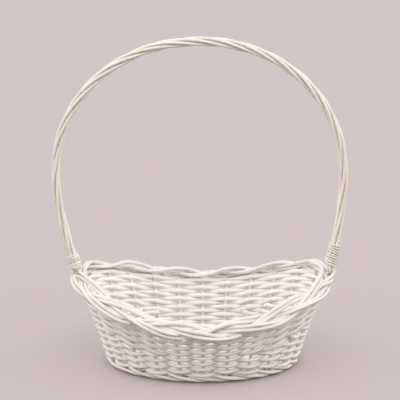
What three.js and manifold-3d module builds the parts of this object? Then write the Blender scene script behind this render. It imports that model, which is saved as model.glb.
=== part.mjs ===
// Flower girl basket: an oval willow basket with a boat shaped rim, a plaited border and a hoop handle.
// Millimetres. +Z is up, +X runs along the basket and in the plane of the handle, the base rests on z = 0.

import * as THREE from 'three';
import { mergeVertices } from 'three/addons/utils/BufferGeometryUtils.js';
import Module from 'manifold-3d';

// Driving dimensions of the oval body, measured to the line on which the stakes stand
const baseHalfLength = 110.8;
const baseHalfWidth = 73.5;
const rimFlare = 39.6;
const sideRimHeight = 76.5;
const endRimHeight = 112;

// Driving dimensions of the handle, measured to the middle of the bundle of rods
const handleHalfWidth = 172.3;
const handleWidestHeight = 231;
const handleTopHeight = 395.5;
const handleLean = 4.2;

// Rod sizes
const stakeRadius = 2.1;
const weaverRadius = 2;
const waleRadius = 1.6;
const bowRadius = 1.7;
const strandRadius = 1.85;
const caneHalfWidth = 0.9;
const caneHalfThickness = 0.6;
const crossStickRadius = 2.5;
const longStickHalfWidth = 2.2;
const longStickHalfThickness = 1;

// Clearance between neighbouring rods that would press on each other
const rodGap = 0.45;
const fineGap = 0.38;

// Counts
const stakeCount = 24;
const rowCount = 14;
const lowRowCount = 5;
const waleCount = 3;
const strandCount = 5;
const leftBindingTurns = 8;
const rightBindingTurns = 9;
const handleTwistTurns = 3.8;
const handleTwistCrowding = 0.25;

// Shape of the wall: how much of the flare comes late, and how sharply the rim rises towards its ends
const lateFlareShare = 0.2;
const rimRisePower = 2;

// Height of the first row, distance of the last row below the rim, and height of the handle's buried ends
const firstRowHeight = 13.4;
const lastRowDrop = 9.8;
const bowEndHeight = 11;

// Foot of a stake: a level length pushed into the base, then a bend up into the wall
const stakeFootHeight = 6.35;
const stakeFootLength = 16;
const elbowRadius = 5;
const baseThickness = 2 * stakeFootHeight;
const baseInset = 4.5;

// Sticks of the base
const crossStickStationShares = [17.5, 18.5, 16.5, 19.5];
const longStickSpacing = 15;
const longStickEndInset = 26.3;

// Plaited border, seen in section: half its width, its tilt, and where each rod enters and leaves it
const plaitHalfWidth = 9;
const plaitTilt = THREE.MathUtils.degToRad(40);
const plaitDepthShare = 2 / Math.sqrt(3);
const plaitHalfDepth = (stakeRadius + rodGap) * plaitDepthShare;
const plaitEntryShare = 0.5;
const plaitExitShare = 2.75;
const plaitEntryAngle = THREE.MathUtils.degToRad(150);
const plaitTurnPerStake = THREE.MathUtils.degToRad(120);
const plaitStepsPerStake = 4;

// Handle above the rim
const hoopFootRise = 9;
const hoopFootOut = 4;
const hoopFullness = 2.07;
const hoopLowerCurve = 1.6;
const strandsStartRise = 8.6;
const bindingStartRise = 3;
const leftBindingLength = 20;
const rightBindingLength = 27;

// Flat sided sections that stand for round rods of the same thickness
const squareShare = Math.sqrt(Math.PI) / 2;

const wasm = await Module();
wasm.setup();

const paint = { white: 0xeee9e2, cream: 0xe9e0cf, shade: 0xe2dad0 };

// Point and outward direction of the base oval at an angle round it
function ovalPoint(angle) {
  return new THREE.Vector3(baseHalfLength * Math.cos(angle), baseHalfWidth * Math.sin(angle), 0);
}

function ovalOutward(angle) {
  const outward = new THREE.Vector3(baseHalfWidth * Math.cos(angle), baseHalfLength * Math.sin(angle), 0);
  return outward.normalize();
}

// Angles of stations spaced evenly round the middle of the wall, found by walking round it in small steps
const walkSteps = 1440;
const walkedLengths = [0];

function midWallPoint(angle) {
  return ovalPoint(angle).addScaledVector(ovalOutward(angle), rimFlare / 2);
}

for (let step = 1; step <= walkSteps; step += 1) {
  const here = midWallPoint((2 * Math.PI * step) / walkSteps);
  const before = midWallPoint((2 * Math.PI * (step - 1)) / walkSteps);
  walkedLengths.push(walkedLengths[step - 1] + here.distanceTo(before));
}

function stationAngle(station) {
  const turns = Math.floor(station / stakeCount);
  const wanted = (station / stakeCount - turns) * walkedLengths[walkSteps];
  let step = 0;
  while (walkedLengths[step + 1] < wanted) {
    step += 1;
  }
  const part = (wanted - walkedLengths[step]) / (walkedLengths[step + 1] - walkedLengths[step]);
  return 2 * Math.PI * (turns + (step + part) / walkSteps);
}

// Height of the middle of the border at a station
function rimHeight(station) {
  const rise = Math.pow(Math.abs(Math.cos(stationAngle(station))), rimRisePower);
  return sideRimHeight + (endRimHeight - sideRimHeight) * rise;
}

// How far the wall stands out of the base oval at a height
function flareAt(station, height) {
  const share = height / rimHeight(station);
  return rimFlare * share * (1 - lateFlareShare + lateFlareShare * share);
}

function flareSlope(station, height) {
  const share = height / rimHeight(station);
  return (rimFlare / rimHeight(station)) * (1 - lateFlareShare + 2 * lateFlareShare * share);
}

// Directions at a station: out from the wall in plan, and up
function stationFrame(station) {
  return { out: ovalOutward(stationAngle(station)), up: new THREE.Vector3(0, 0, 1) };
}

// Direction square to the leaning wall
function wallNormal(station, height) {
  const { out, up } = stationFrame(station);
  return out.addScaledVector(up, -flareSlope(station, height)).normalize();
}

// A point on the wall, moved square to it by an offset
function wallPoint(station, height, offset) {
  const angle = stationAngle(station);
  const point = ovalPoint(angle).addScaledVector(ovalOutward(angle), flareAt(station, height));
  point.z = height;
  return point.addScaledVector(wallNormal(station, height), offset);
}

// The station a small distance along the wall from another one
function stationBeside(station, height, distance) {
  const nudge = 0.01;
  const step = wallPoint(station + nudge, height, 0).distanceTo(wallPoint(station - nudge, height, 0));
  return station + (distance * 2 * nudge) / step;
}

// A rod: one ring of the section at every point, joined into a closed skin with a flat cap at each end
function rodGeometry(points, sides, section) {
  const positions = [];
  const faces = [];
  const last = points.length - 1;
  points.forEach((point, index) => {
    const before = points[Math.max(index - 1, 0)];
    const after = points[Math.min(index + 1, last)];
    const forward = new THREE.Vector3().subVectors(after, before).normalize();
    const side = sides[index].clone().addScaledVector(forward, -sides[index].dot(forward)).normalize();
    const lift = new THREE.Vector3().crossVectors(forward, side);
    section.forEach(([across, above]) => {
      const corner = point.clone().addScaledVector(side, across).addScaledVector(lift, above);
      positions.push(corner.x, corner.y, corner.z);
    });
  });
  const count = section.length;
  for (let ring = 0; ring < last; ring += 1) {
    for (let corner = 0; corner < count; corner += 1) {
      const next = (corner + 1) % count;
      const near = ring * count;
      const far = near + count;
      faces.push(near + corner, near + next, far + next);
      faces.push(near + corner, far + next, far + corner);
    }
  }
  for (let corner = 1; corner < count - 1; corner += 1) {
    faces.push(0, corner + 1, corner);
    faces.push(last * count, last * count + corner, last * count + corner + 1);
  }
  const geometry = new THREE.BufferGeometry();
  geometry.setAttribute('position', new THREE.Float32BufferAttribute(positions, 3));
  geometry.setIndex(faces);
  return geometry;
}

// Sections, each as a list of distances along the rod's side direction and above it
function squareSection(radius) {
  const half = radius * squareShare;
  return [[half, half], [-half, half], [-half, -half], [half, -half]];
}

function roundSection(halfWidth, halfThickness, count) {
  const section = [];
  for (let corner = 0; corner < count; corner += 1) {
    const angle = (2 * Math.PI * (corner + 0.5)) / count;
    section.push([halfWidth * Math.cos(angle), halfThickness * Math.sin(angle)]);
  }
  return section;
}

function squareReach(radius) {
  return radius * squareShare;
}

// Joins and cuts
function solidFrom(geometry) {
  const bare = geometry.clone();
  bare.deleteAttribute('normal');
  bare.deleteAttribute('uv');
  const merged = mergeVertices(bare);
  const mesh = new wasm.Mesh({
    numProp: 3,
    vertProperties: new Float32Array(merged.attributes.position.array),
    triVerts: new Uint32Array(merged.index.array),
  });
  return new wasm.Manifold(mesh);
}

function geometryFrom(solid) {
  const mesh = solid.getMesh();
  const geometry = new THREE.BufferGeometry();
  geometry.setAttribute('position', new THREE.Float32BufferAttribute(mesh.vertProperties, 3));
  geometry.setIndex(Array.from(mesh.triVerts));
  return geometry;
}

const group = new THREE.Group();

function addPiece(name, geometry, color, roughness) {
  const material = new THREE.MeshStandardMaterial({ color, roughness, metalness: 0 });
  const mesh = new THREE.Mesh(geometry, material);
  mesh.name = name;
  group.add(mesh);
}

function twoDigits(number) {
  return String(number).padStart(2, '0');
}

// Stakes: foot in the base, bend, wall, then bent down into the border and plaited over three neighbours
const bowBesideStake = stakeRadius + bowRadius + rodGap;

function sharesStationWithBow(index) {
  return index % (stakeCount / 2) === 0;
}

function stakeStation(index, height) {
  const nudge = sharesStationWithBow(index) ? bowBesideStake : 0;
  return stationBeside(index, height, nudge);
}

// Middle of the bend in a stake's foot, and a point round it, with the angle measured down from level
function elbowPoint(station, reach, angle) {
  const { out, up } = stationFrame(station);
  const slope = flareSlope(station, 0);
  const middleHeight = stakeFootHeight + elbowRadius;
  const middleOut = slope * middleHeight - elbowRadius * Math.sqrt(1 + slope * slope);
  return ovalPoint(stationAngle(station))
    .addScaledVector(out, middleOut + reach * Math.cos(angle))
    .addScaledVector(up, middleHeight - reach * Math.sin(angle));
}

// A point in the section of the border, across it and through it
function borderPoint(station, across, through) {
  const { out, up } = stationFrame(station);
  const point = ovalPoint(stationAngle(station)).addScaledVector(out, rimFlare);
  point.z = rimHeight(station);
  const radial = across * Math.cos(plaitTilt) + through * Math.sin(plaitTilt);
  const rise = through * Math.cos(plaitTilt) - across * Math.sin(plaitTilt);
  return point.addScaledVector(out, radial).addScaledVector(up, rise);
}

function plaitPoint(index, travel) {
  const angle = plaitEntryAngle + plaitTurnPerStake * (travel - plaitEntryShare);
  const across = plaitHalfWidth * Math.sin(angle);
  const through = plaitHalfDepth * Math.sin(2 * angle);
  return borderPoint(index + travel, across, through);
}

// Way of a stake into the border: shares of the plait's half width and half depth at shares of a station
const stakeEntryShares = [
  { travel: 0.03, across: 0.2, through: -2.3 },
  { travel: 0.14, across: 0.3, through: -1.9 },
  { travel: 0.3, across: 0.42, through: -1.3 },
];
const elbowAngleShares = [0, 0.5, 1];
const stakeWallShares = [0.3, 0.62, 0.87];

function stakePath(index) {
  const points = [];
  const sides = [];
  const footStation = stakeStation(index, stakeFootHeight);
  const { out, up } = stationFrame(footStation);
  const underside = Math.PI / 2;
  const wallAngle = Math.atan(flareSlope(footStation, 0));
  const bendStart = elbowPoint(footStation, elbowRadius, underside);
  points.push(bendStart.clone().addScaledVector(out, -stakeFootLength));
  sides.push(up.clone().negate());
  elbowAngleShares.forEach((share) => {
    const angle = underside + (wallAngle - underside) * share;
    points.push(elbowPoint(footStation, elbowRadius, angle));
    sides.push(out.clone().multiplyScalar(Math.cos(angle)).addScaledVector(up, -Math.sin(angle)));
  });
  stakeWallShares.forEach((share) => {
    const height = share * rimHeight(index);
    const station = stakeStation(index, height);
    points.push(wallPoint(station, height, 0));
    sides.push(wallNormal(station, height));
  });
  const entryStart = stakeStation(index, rimHeight(index)) - index;
  stakeEntryShares.forEach(({ travel, across, through }) => {
    const station = index + entryStart + travel * (1 - entryStart);
    points.push(borderPoint(station, across * plaitHalfWidth, through * plaitHalfDepth));
    sides.push(borderSide(station));
  });
  const plaitSteps = Math.round((plaitExitShare - plaitEntryShare) * plaitStepsPerStake);
  for (let step = 0; step <= plaitSteps; step += 1) {
    const travel = plaitEntryShare + ((plaitExitShare - plaitEntryShare) * step) / plaitSteps;
    points.push(plaitPoint(index, travel));
    sides.push(borderSide(index + travel));
  }
  return { points, sides };
}

function borderSide(station) {
  const { out, up } = stationFrame(station);
  return out.clone().multiplyScalar(Math.cos(plaitTilt)).addScaledVector(up, -Math.sin(plaitTilt));
}

const stakePaths = [];
for (let index = 0; index < stakeCount; index += 1) {
  stakePaths.push(stakePath(index));
}

stakePaths.forEach(({ points, sides }, index) => {
  const geometry = rodGeometry(points, sides, squareSection(stakeRadius));
  addPiece(`stake_${twoDigits(index + 1)}`, geometry, paint.white, 0.62);
});

// Packing: at each raised end one rod goes to and fro between the rows, and turns round a nearer stake on
// every second pass. Places are counted in stakes from the middle of the end.
const rowPitch = (sideRimHeight - lastRowDrop - firstRowHeight) / (rowCount - 1);
const turnRoomShare = 0.5;

function wedgeRoom(distance) {
  return rimHeight(distance) - sideRimHeight;
}

function turningStake(pass) {
  let distance = stakeCount / 4;
  while (distance > 1 && wedgeRoom(distance) < (pass - turnRoomShare) * rowPitch) {
    distance -= 1;
  }
  return distance;
}

const passCount = Math.floor(wedgeRoom(1) / rowPitch);
const packingPasses = [];
for (let pass = 1; pass <= passCount; pass += 1) {
  const way = pass % 2 === 1 ? 1 : -1;
  const from = -way * turningStake(pass);
  const to = way * turningStake(Math.min(pass + 1, passCount));
  packingPasses.push({ way, from, to });
}

// Past a turn the rods above come down over this stretch of the way to the next stake
const settleFromShare = 0.1;
const settleToShare = 1;

function passesAt(station) {
  const quarter = stakeCount / 4;
  const place = THREE.MathUtils.euclideanModulo(station + quarter, 2 * quarter) - quarter;
  return packingPasses.reduce((total, { from, to }) => {
    const beyond = Math.max(Math.min(from, to) - place, place - Math.max(from, to));
    return total + 1 - THREE.MathUtils.smoothstep(beyond, settleFromShare, settleToShare);
  }, 0);
}

// All the rods at a station share the height of the wall evenly. A rod's rank counts the rods below it,
// without the packing.
function rankedHeight(station, rank, isAbovePacking) {
  const passes = passesAt(station);
  const room = rimHeight(station) - lastRowDrop - firstRowHeight;
  const below = isAbovePacking ? rank + passes : rank;
  return firstRowHeight + (room * below) / (rowCount - 1 + passes);
}

// Rows: in front of one stake and behind the next, each rod shifted by one stake from the row below it
const weaveOffset = squareReach(stakeRadius) + squareReach(weaverRadius) + rodGap;
const weaveFlat = stakeRadius + weaverRadius;

function weaveSide(row, index) {
  return (index + row) % 2 === 0 ? 1 : -1;
}

// The two corners of a woven rod where it passes one stake
function weaveCorners(index, heightAt, side) {
  const height = heightAt(index);
  const before = stationBeside(index, height, -weaveFlat);
  const past = sharesStationWithBow(index) ? bowBesideStake + weaveFlat : weaveFlat;
  const after = stationBeside(index, height, past);
  return [before, after].map((station) => ({ station, height: heightAt(station), offset: side * weaveOffset }));
}

function wallRod(corners) {
  const points = corners.map(({ station, height, offset }) => wallPoint(station, height, offset));
  const sides = corners.map(({ station, height }) => wallNormal(station, height));
  return rodGeometry(points, sides, squareSection(weaverRadius));
}

// Each row starts and ends behind one stake of the front wall
const seamStations = [15, 18, 17, 20, 19, 16];
const seamHalfGap = 1.2;

function rowCorners(row) {
  const heightAt = (station) => rankedHeight(station, row, row >= lowRowCount);
  const seam = seamStations[row % seamStations.length];
  const seamHeight = heightAt(seam);
  const side = weaveSide(row, seam);
  const corners = [];
  const start = stationBeside(seam, seamHeight, seamHalfGap);
  corners.push({ station: start, height: heightAt(start), offset: side * weaveOffset });
  corners.push(weaveCorners(seam, heightAt, side)[1]);
  for (let index = seam + 1; index < seam + stakeCount; index += 1) {
    corners.push(...weaveCorners(index, heightAt, weaveSide(row, index)));
  }
  corners.push(weaveCorners(seam + stakeCount, heightAt, side)[0]);
  const end = stationBeside(seam + stakeCount, seamHeight, -seamHalfGap);
  corners.push({ station: end, height: heightAt(end), offset: side * weaveOffset });
  return corners;
}

for (let row = 0; row < rowCount; row += 1) {
  addPiece(`row_${twoDigits(row + 1)}`, wallRod(rowCorners(row)), paint.shade, 0.68);
}

function packingCorners(middle) {
  const corners = [];
  packingPasses.forEach(({ way, from, to }, pass) => {
    const heightAt = (station) => rankedHeight(station, lowRowCount + pass, false);
    for (let index = from; way * (to - index) >= 0; index += way) {
      const side = weaveSide(lowRowCount + pass, middle + index + stakeCount);
      const pair = weaveCorners(middle + index, heightAt, side);
      corners.push(...(way > 0 ? pair : pair.reverse()));
    }
    if (pass < passCount - 1) {
      const stake = middle + to;
      const height = (heightAt(stake) + rankedHeight(stake, lowRowCount + pass + 1, false)) / 2;
      const station = stationBeside(stake, height, way * (weaveFlat + weaverRadius));
      corners.push({ station, height, offset: 0 });
    }
  });
  return corners;
}

addPiece('packing_right', wallRod(packingCorners(0)), paint.shade, 0.68);
addPiece('packing_left', wallRod(packingCorners(stakeCount / 2)), paint.shade, 0.68);

// Foot wale: three thin rods, each outside two stakes and under the third, round the bends at the base
const waleReach = elbowRadius + stakeRadius + waleRadius + rodGap;
const waleNearReach = elbowRadius + waleRadius;
const waleFarReach = waleNearReach + 2 * waleRadius + 2 * rodGap;
const waleAngles = [90, 20, 54].map((degrees) => THREE.MathUtils.degToRad(degrees));
const waleBetweenReach = [waleFarReach, waleNearReach, waleNearReach];
const waleBetweenShares = [0.33, 0.67];
const waleSides = 4;
const waleSeam = seamStations[0];
const waleSeamShare = 0.06;

function waleGeometry(rod) {
  const points = [];
  const sides = [];
  const addPoint = (station, reach, angle) => {
    const { out, up } = stationFrame(station);
    points.push(elbowPoint(station, reach, angle));
    sides.push(out.clone().multiplyScalar(Math.cos(angle)).addScaledVector(up, -Math.sin(angle)));
  };
  const seam = waleSeam + waleCount - rod;
  addPoint(seam + waleSeamShare, waleReach, waleAngles[0]);
  for (let index = seam; index < seam + stakeCount; index += 1) {
    const phase = (index + rod) % waleCount;
    if (index > seam) {
      addPoint(stakeStation(index, stakeFootHeight), waleReach, waleAngles[phase]);
    }
    const turn = waleAngles[(phase + 1) % waleCount] - waleAngles[phase];
    const here = stakeStation(index, stakeFootHeight);
    const next = stakeStation(index + 1, stakeFootHeight);
    waleBetweenShares.forEach((share) => {
      const station = here + (next - here) * share;
      addPoint(station, waleBetweenReach[phase], waleAngles[phase] + turn * share);
    });
  }
  addPoint(seam + stakeCount - waleSeamShare, waleReach, waleAngles[0]);
  return rodGeometry(points, sides, roundSection(waleRadius, waleRadius, waleSides));
}

for (let rod = 0; rod < waleCount; rod += 1) {
  addPiece(`foot_wale_${rod + 1}`, waleGeometry(rod), paint.cream, 0.62);
}

// Base: cross sticks slit for the long sticks, all inside one woven mat that swells over every stick
const crossStickPlaces = crossStickStationShares.map((station) => ovalPoint(stationAngle(station)).x);
const crossStickSides = 6;
const acrossX = new THREE.Vector3(1, 0, 0);
const acrossY = new THREE.Vector3(0, 1, 0);
const matHalfLength = baseHalfLength - baseInset;
const matHalfWidth = baseHalfWidth - baseInset;
const longStickHalfLength = matHalfLength - longStickEndInset;
const cutOverrun = 6;

function straightRod(from, to, side, section) {
  return rodGeometry([from, to], [side, side], section);
}

function crossStickHalfLength(place) {
  return matHalfWidth * Math.sqrt(1 - (place / matHalfLength) ** 2);
}

function crossStick(place, growth, overrun) {
  const reach = crossStickHalfLength(place) + overrun;
  const from = new THREE.Vector3(place, -reach, stakeFootHeight);
  const to = new THREE.Vector3(place, reach, stakeFootHeight);
  const radius = crossStickRadius + growth;
  return straightRod(from, to, acrossX, roundSection(radius, radius, crossStickSides));
}

function longStick(offset, growth) {
  const reach = longStickHalfLength + growth;
  const width = longStickHalfWidth + growth;
  const thickness = longStickHalfThickness + growth;
  const section = [[width, thickness], [-width, thickness], [-width, -thickness], [width, -thickness]];
  const from = new THREE.Vector3(-reach, offset, stakeFootHeight);
  const to = new THREE.Vector3(reach, offset, stakeFootHeight);
  return straightRod(from, to, acrossY, section);
}

const longStickPlaces = [-longStickSpacing, 0, longStickSpacing];
const matSteps = 18;
const matValleyHalfThickness = 2.9;
const ridgeCover = 1.3;
const footRidgeHalfWidth = 8;

function matPlate(halfThickness) {
  const outline = new THREE.Shape();
  outline.absellipse(0, 0, matHalfLength, matHalfWidth, 0, 2 * Math.PI);
  const depth = 2 * halfThickness;
  const plate = new THREE.ExtrudeGeometry(outline, { depth, bevelEnabled: false, curveSegments: matSteps });
  return plate.translate(0, 0, stakeFootHeight - halfThickness);
}

// The swelling over and under one stick: a level crest that slopes down to the valley on both sides
function ridge(from, to, side, stickHalfWidth, halfWidth) {
  const crest = stickHalfWidth + ridgeCover;
  const high = baseThickness / 2;
  const low = matValleyHalfThickness;
  const upper = [[halfWidth, low], [crest, high], [-crest, high], [-halfWidth, low]];
  const lower = upper.map(([across, above]) => [-across, -above]);
  return straightRod(from, to, side, [...upper, ...lower]);
}

function matRidges() {
  const crossHalfSpacing = (crossStickPlaces[1] - crossStickPlaces[0]) / 2;
  const crossRidges = crossStickPlaces.map((place) => {
    const reach = crossStickHalfLength(place) + cutOverrun;
    const from = new THREE.Vector3(place, -reach, stakeFootHeight);
    const to = new THREE.Vector3(place, reach, stakeFootHeight);
    return ridge(from, to, acrossX, crossStickRadius, crossHalfSpacing);
  });
  const longRidges = longStickPlaces.map((place) => {
    const reach = longStickHalfLength + ridgeCover;
    const from = new THREE.Vector3(-reach, place, stakeFootHeight);
    const to = new THREE.Vector3(reach, place, stakeFootHeight);
    return ridge(from, to, acrossY, longStickHalfWidth, longStickSpacing / 2);
  });
  const footRidges = stakePaths.map(({ points }) => {
    const inward = new THREE.Vector3().subVectors(points[0], points[1]).normalize();
    const side = new THREE.Vector3().crossVectors(new THREE.Vector3(0, 0, 1), inward);
    const from = points[0].clone().addScaledVector(inward, ridgeCover);
    const to = points[1].clone().addScaledVector(inward, -cutOverrun);
    return ridge(from, to, side, stakeRadius, footRidgeHalfWidth);
  });
  return [...crossRidges, ...longRidges, ...footRidges];
}

let mat = solidFrom(matPlate(matValleyHalfThickness));
matRidges().forEach((swelling) => {
  mat = mat.add(solidFrom(swelling));
});
mat = mat.intersect(solidFrom(matPlate(baseThickness / 2)));
longStickPlaces.forEach((place) => {
  mat = mat.subtract(solidFrom(longStick(place, fineGap)));
});
crossStickPlaces.forEach((place) => {
  mat = mat.subtract(solidFrom(crossStick(place, fineGap, cutOverrun)));
});
stakePaths.forEach(({ points, sides }) => {
  const inward = new THREE.Vector3().subVectors(points[0], points[1]).normalize();
  const from = points[0].clone().addScaledVector(inward, fineGap);
  const to = points[1].clone().addScaledVector(inward, -cutOverrun);
  const cutter = straightRod(from, to, sides[0], squareSection(stakeRadius + rodGap));
  mat = mat.subtract(solidFrom(cutter));
});
addPiece('base_weave', geometryFrom(mat), paint.shade, 0.7);

longStickPlaces.forEach((place, index) => {
  addPiece(`base_long_stick_${index + 1}`, longStick(place, 0), paint.cream, 0.66);
});
crossStickPlaces.forEach((place, index) => {
  let stick = solidFrom(crossStick(place, 0, 0));
  longStickPlaces.forEach((offset) => {
    stick = stick.subtract(solidFrom(longStick(offset, fineGap)));
  });
  addPiece(`base_cross_stick_${index + 1}`, geometryFrom(stick), paint.cream, 0.66);
});

// Handle bow: from one foot in the wall, through the border and over to the other foot
function hoopHalfWidth(height) {
  const foot = baseHalfLength + rimFlare + hoopFootOut;
  const footHeight = endRimHeight + hoopFootRise;
  const share = (handleWidestHeight - height) / (handleWidestHeight - footHeight);
  return handleHalfWidth - (handleHalfWidth - foot) * Math.pow(share, hoopLowerCurve);
}

function leanAt(height) {
  const footHeight = endRimHeight + hoopFootRise;
  const share = (height - footHeight) / (handleTopHeight - footHeight);
  return -handleLean * Math.min(1, 3 * share);
}

const bowWindowShares = [
  { across: 0.2, through: -1.6 },
  { across: 0.25, through: 0.2 },
  { across: 0.25, through: 1.4 },
];
const bowWallShares = [0.1, 0.4, 0.7, 0.88];
const hoopLowerSteps = 4;
const hoopUpperSteps = 7;

function rightHalfOfBow() {
  const points = [];
  bowWallShares.forEach((share) => {
    const height = Math.max(share * endRimHeight, bowEndHeight);
    points.push(wallPoint(0, height, 0));
  });
  bowWindowShares.forEach(({ across, through }) => {
    points.push(borderPoint(0, across * plaitHalfWidth, through * plaitHalfDepth));
  });
  const footHeight = endRimHeight + hoopFootRise;
  for (let step = 0; step < hoopLowerSteps; step += 1) {
    const height = footHeight + ((handleWidestHeight - footHeight) * step) / hoopLowerSteps;
    points.push(new THREE.Vector3(hoopHalfWidth(height), 0, height));
  }
  for (let step = 0; step < hoopUpperSteps; step += 1) {
    const angle = (Math.PI * step) / (2 * hoopUpperSteps);
    const across = handleHalfWidth * Math.pow(Math.cos(angle), 2 / hoopFullness);
    const rise = (handleTopHeight - handleWidestHeight) * Math.pow(Math.sin(angle), 2 / hoopFullness);
    points.push(new THREE.Vector3(across, 0, handleWidestHeight + rise));
  }
  return points;
}

function bowPoints() {
  const right = rightHalfOfBow();
  const left = right.map((point) => new THREE.Vector3(-point.x, point.y, point.z)).reverse();
  const top = new THREE.Vector3(0, 0, handleTopHeight);
  const all = [...right, top, ...left];
  all.forEach((point) => {
    if (point.z > endRimHeight + hoopFootRise) {
      point.x += leanAt(point.z);
    }
  });
  return all;
}

const bowCurve = new THREE.CatmullRomCurve3(bowPoints(), false, 'centripetal');
bowCurve.arcLengthDivisions = 2000;
const bowLength = bowCurve.getLength();
const bowStepsPerSpan = 2;
const bowSides = 5;

function bowFrame(share) {
  const middle = bowCurve.getPointAt(share);
  const forward = bowCurve.getTangentAt(share);
  const inward = new THREE.Vector3().crossVectors(forward, acrossY).normalize();
  return { middle, forward, inward };
}

function bowGeometry() {
  const points = bowCurve.getPoints(bowStepsPerSpan * (bowCurve.points.length - 1));
  return rodGeometry(points, points.map(() => acrossY), roundSection(bowRadius, bowRadius, bowSides));
}

addPiece('handle_bow', bowGeometry(), paint.cream, 0.6);

// Strands twisted round the bow, from just above the border on one side to the same height on the other.
// The twist is quicker over the top than in the legs, by the share that handleTwistCrowding gives.
function shareAtHeight(height, fromRight) {
  const steps = 4000;
  let step = 0;
  while (step < steps / 2) {
    const share = fromRight ? step / steps : 1 - step / steps;
    if (bowCurve.getPointAt(share).z > height) {
      return share;
    }
    step += 1;
  }
  return 0;
}

const strandStartHeight = endRimHeight + strandsStartRise;
const rightStrandShare = shareAtHeight(strandStartHeight, true);
const leftStrandShare = shareAtHeight(strandStartHeight, false);
const strandRing = bowRadius + strandRadius + fineGap;
const strandSteps = 37;
const strandSides = 5;

function strandAngle(index, part) {
  const turned = 2 * Math.PI * part;
  const twisted = handleTwistTurns * (turned - handleTwistCrowding * Math.sin(turned));
  return 2 * Math.PI * index / strandCount - twisted;
}

function strandGeometry(index) {
  const points = [];
  const sides = [];
  for (let step = 0; step <= strandSteps; step += 1) {
    const part = step / strandSteps;
    const { middle, inward } = bowFrame(rightStrandShare + (leftStrandShare - rightStrandShare) * part);
    const angle = strandAngle(index, part);
    const outward = inward.clone().multiplyScalar(Math.cos(angle)).addScaledVector(acrossY, Math.sin(angle));
    points.push(middle.clone().addScaledVector(outward, strandRing));
    sides.push(outward);
  }
  return rodGeometry(points, sides, roundSection(strandRadius, strandRadius, strandSides));
}

for (let index = 0; index < strandCount; index += 1) {
  addPiece(`handle_strand_${index + 1}`, strandGeometry(index), paint.cream, 0.6);
}

// Cane bindings: one flat cane wound round the strands at each foot of the handle
const bindingRing = strandRing + strandRadius + fineGap + caneHalfThickness;
const caneStepsPerTurn = 12;
const caneSides = 5;
const caneTail = 2 * caneHalfWidth;

function bindingPath(startShare, length, turns, direction) {
  const points = [];
  const sides = [];
  const steps = turns * caneStepsPerTurn;
  for (let step = 0; step <= steps; step += 1) {
    const share = startShare + (direction * length * step) / (steps * bowLength);
    const { middle, inward } = bowFrame(share);
    const angle = (2 * Math.PI * turns * step) / steps;
    const outward = inward.clone().multiplyScalar(Math.cos(angle)).addScaledVector(acrossY, Math.sin(angle));
    points.push(middle.clone().addScaledVector(outward, bindingRing));
    sides.push(outward);
  }
  const startWay = new THREE.Vector3().subVectors(points[0], points[1]).normalize();
  const endWay = new THREE.Vector3().subVectors(points[steps], points[steps - 1]).normalize();
  points.unshift(points[0].clone().addScaledVector(startWay, caneTail));
  sides.unshift(sides[0].clone());
  points.push(points[points.length - 1].clone().addScaledVector(endWay, caneTail));
  sides.push(sides[sides.length - 1].clone());
  return { points, sides };
}

// Least gap between one turn of a binding and the next, measured between the canes' edges
function leastGap(points) {
  let least = Infinity;
  for (let one = 0; one < points.length; one += 1) {
    for (let other = one + caneStepsPerTurn / 2; other < points.length; other += 1) {
      least = Math.min(least, points[one].distanceTo(points[other]) - 2 * caneHalfWidth);
    }
  }
  return least;
}

function addBinding(name, startShare, length, turns, direction) {
  const { points, sides } = bindingPath(startShare, length, turns, direction);
  const section = roundSection(caneHalfThickness, caneHalfWidth, caneSides);
  addPiece(name, rodGeometry(points, sides, section), paint.cream, 0.55);
  console.log(`${name}: least gap to itself ${leastGap(points).toFixed(2)} mm`);
}

const bindingLift = bindingStartRise / bowLength;
addBinding('handle_binding_right', rightStrandShare + bindingLift, rightBindingLength, rightBindingTurns, 1);
addBinding('handle_binding_left', leftStrandShare - bindingLift, leftBindingLength, leftBindingTurns, -1);

export default group;
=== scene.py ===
"""Weaves the looks of an oval willow basket with a hoop handle around its fixed frame, in metres.

Stations count the stakes round the wall from the right end, so station 6.5 lies halfway from the
seventh stake to the eighth. Heights are above the floor, and offsets are square to the leaning wall.
"""

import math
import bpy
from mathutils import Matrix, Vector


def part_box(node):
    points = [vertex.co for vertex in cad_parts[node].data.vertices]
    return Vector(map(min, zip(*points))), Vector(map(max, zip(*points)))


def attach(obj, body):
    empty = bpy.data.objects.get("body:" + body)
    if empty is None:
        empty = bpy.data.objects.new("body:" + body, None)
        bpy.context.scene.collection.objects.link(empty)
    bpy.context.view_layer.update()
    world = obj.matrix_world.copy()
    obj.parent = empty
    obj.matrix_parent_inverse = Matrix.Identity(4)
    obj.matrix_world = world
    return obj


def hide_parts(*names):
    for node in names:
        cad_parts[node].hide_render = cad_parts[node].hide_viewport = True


bl_info = {
    "name": "Flower Girl Basket",
    "version": (1, 0, 0),
    "blender": (4, 5, 0),
    "location": "3D View > Sidebar > Basket",
    "description": "Oval willow basket with a plaited border and a twisted hoop handle",
    "category": "Object",
}

import bpy
import numpy as np
from bpy.props import FloatProperty, FloatVectorProperty, PointerProperty
from bpy.types import Operator, Panel, PropertyGroup
from mathutils import Vector

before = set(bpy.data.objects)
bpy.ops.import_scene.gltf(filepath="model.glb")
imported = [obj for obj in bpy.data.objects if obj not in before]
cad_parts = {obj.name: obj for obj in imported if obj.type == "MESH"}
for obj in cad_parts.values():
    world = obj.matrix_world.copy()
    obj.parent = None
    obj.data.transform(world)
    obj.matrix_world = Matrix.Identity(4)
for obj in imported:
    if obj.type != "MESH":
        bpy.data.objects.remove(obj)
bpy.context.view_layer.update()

TURN = 2 * math.pi
UP = np.array((0.0, 0.0, 1.0))
ACROSS = np.array((0.0, 1.0, 0.0))

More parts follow.
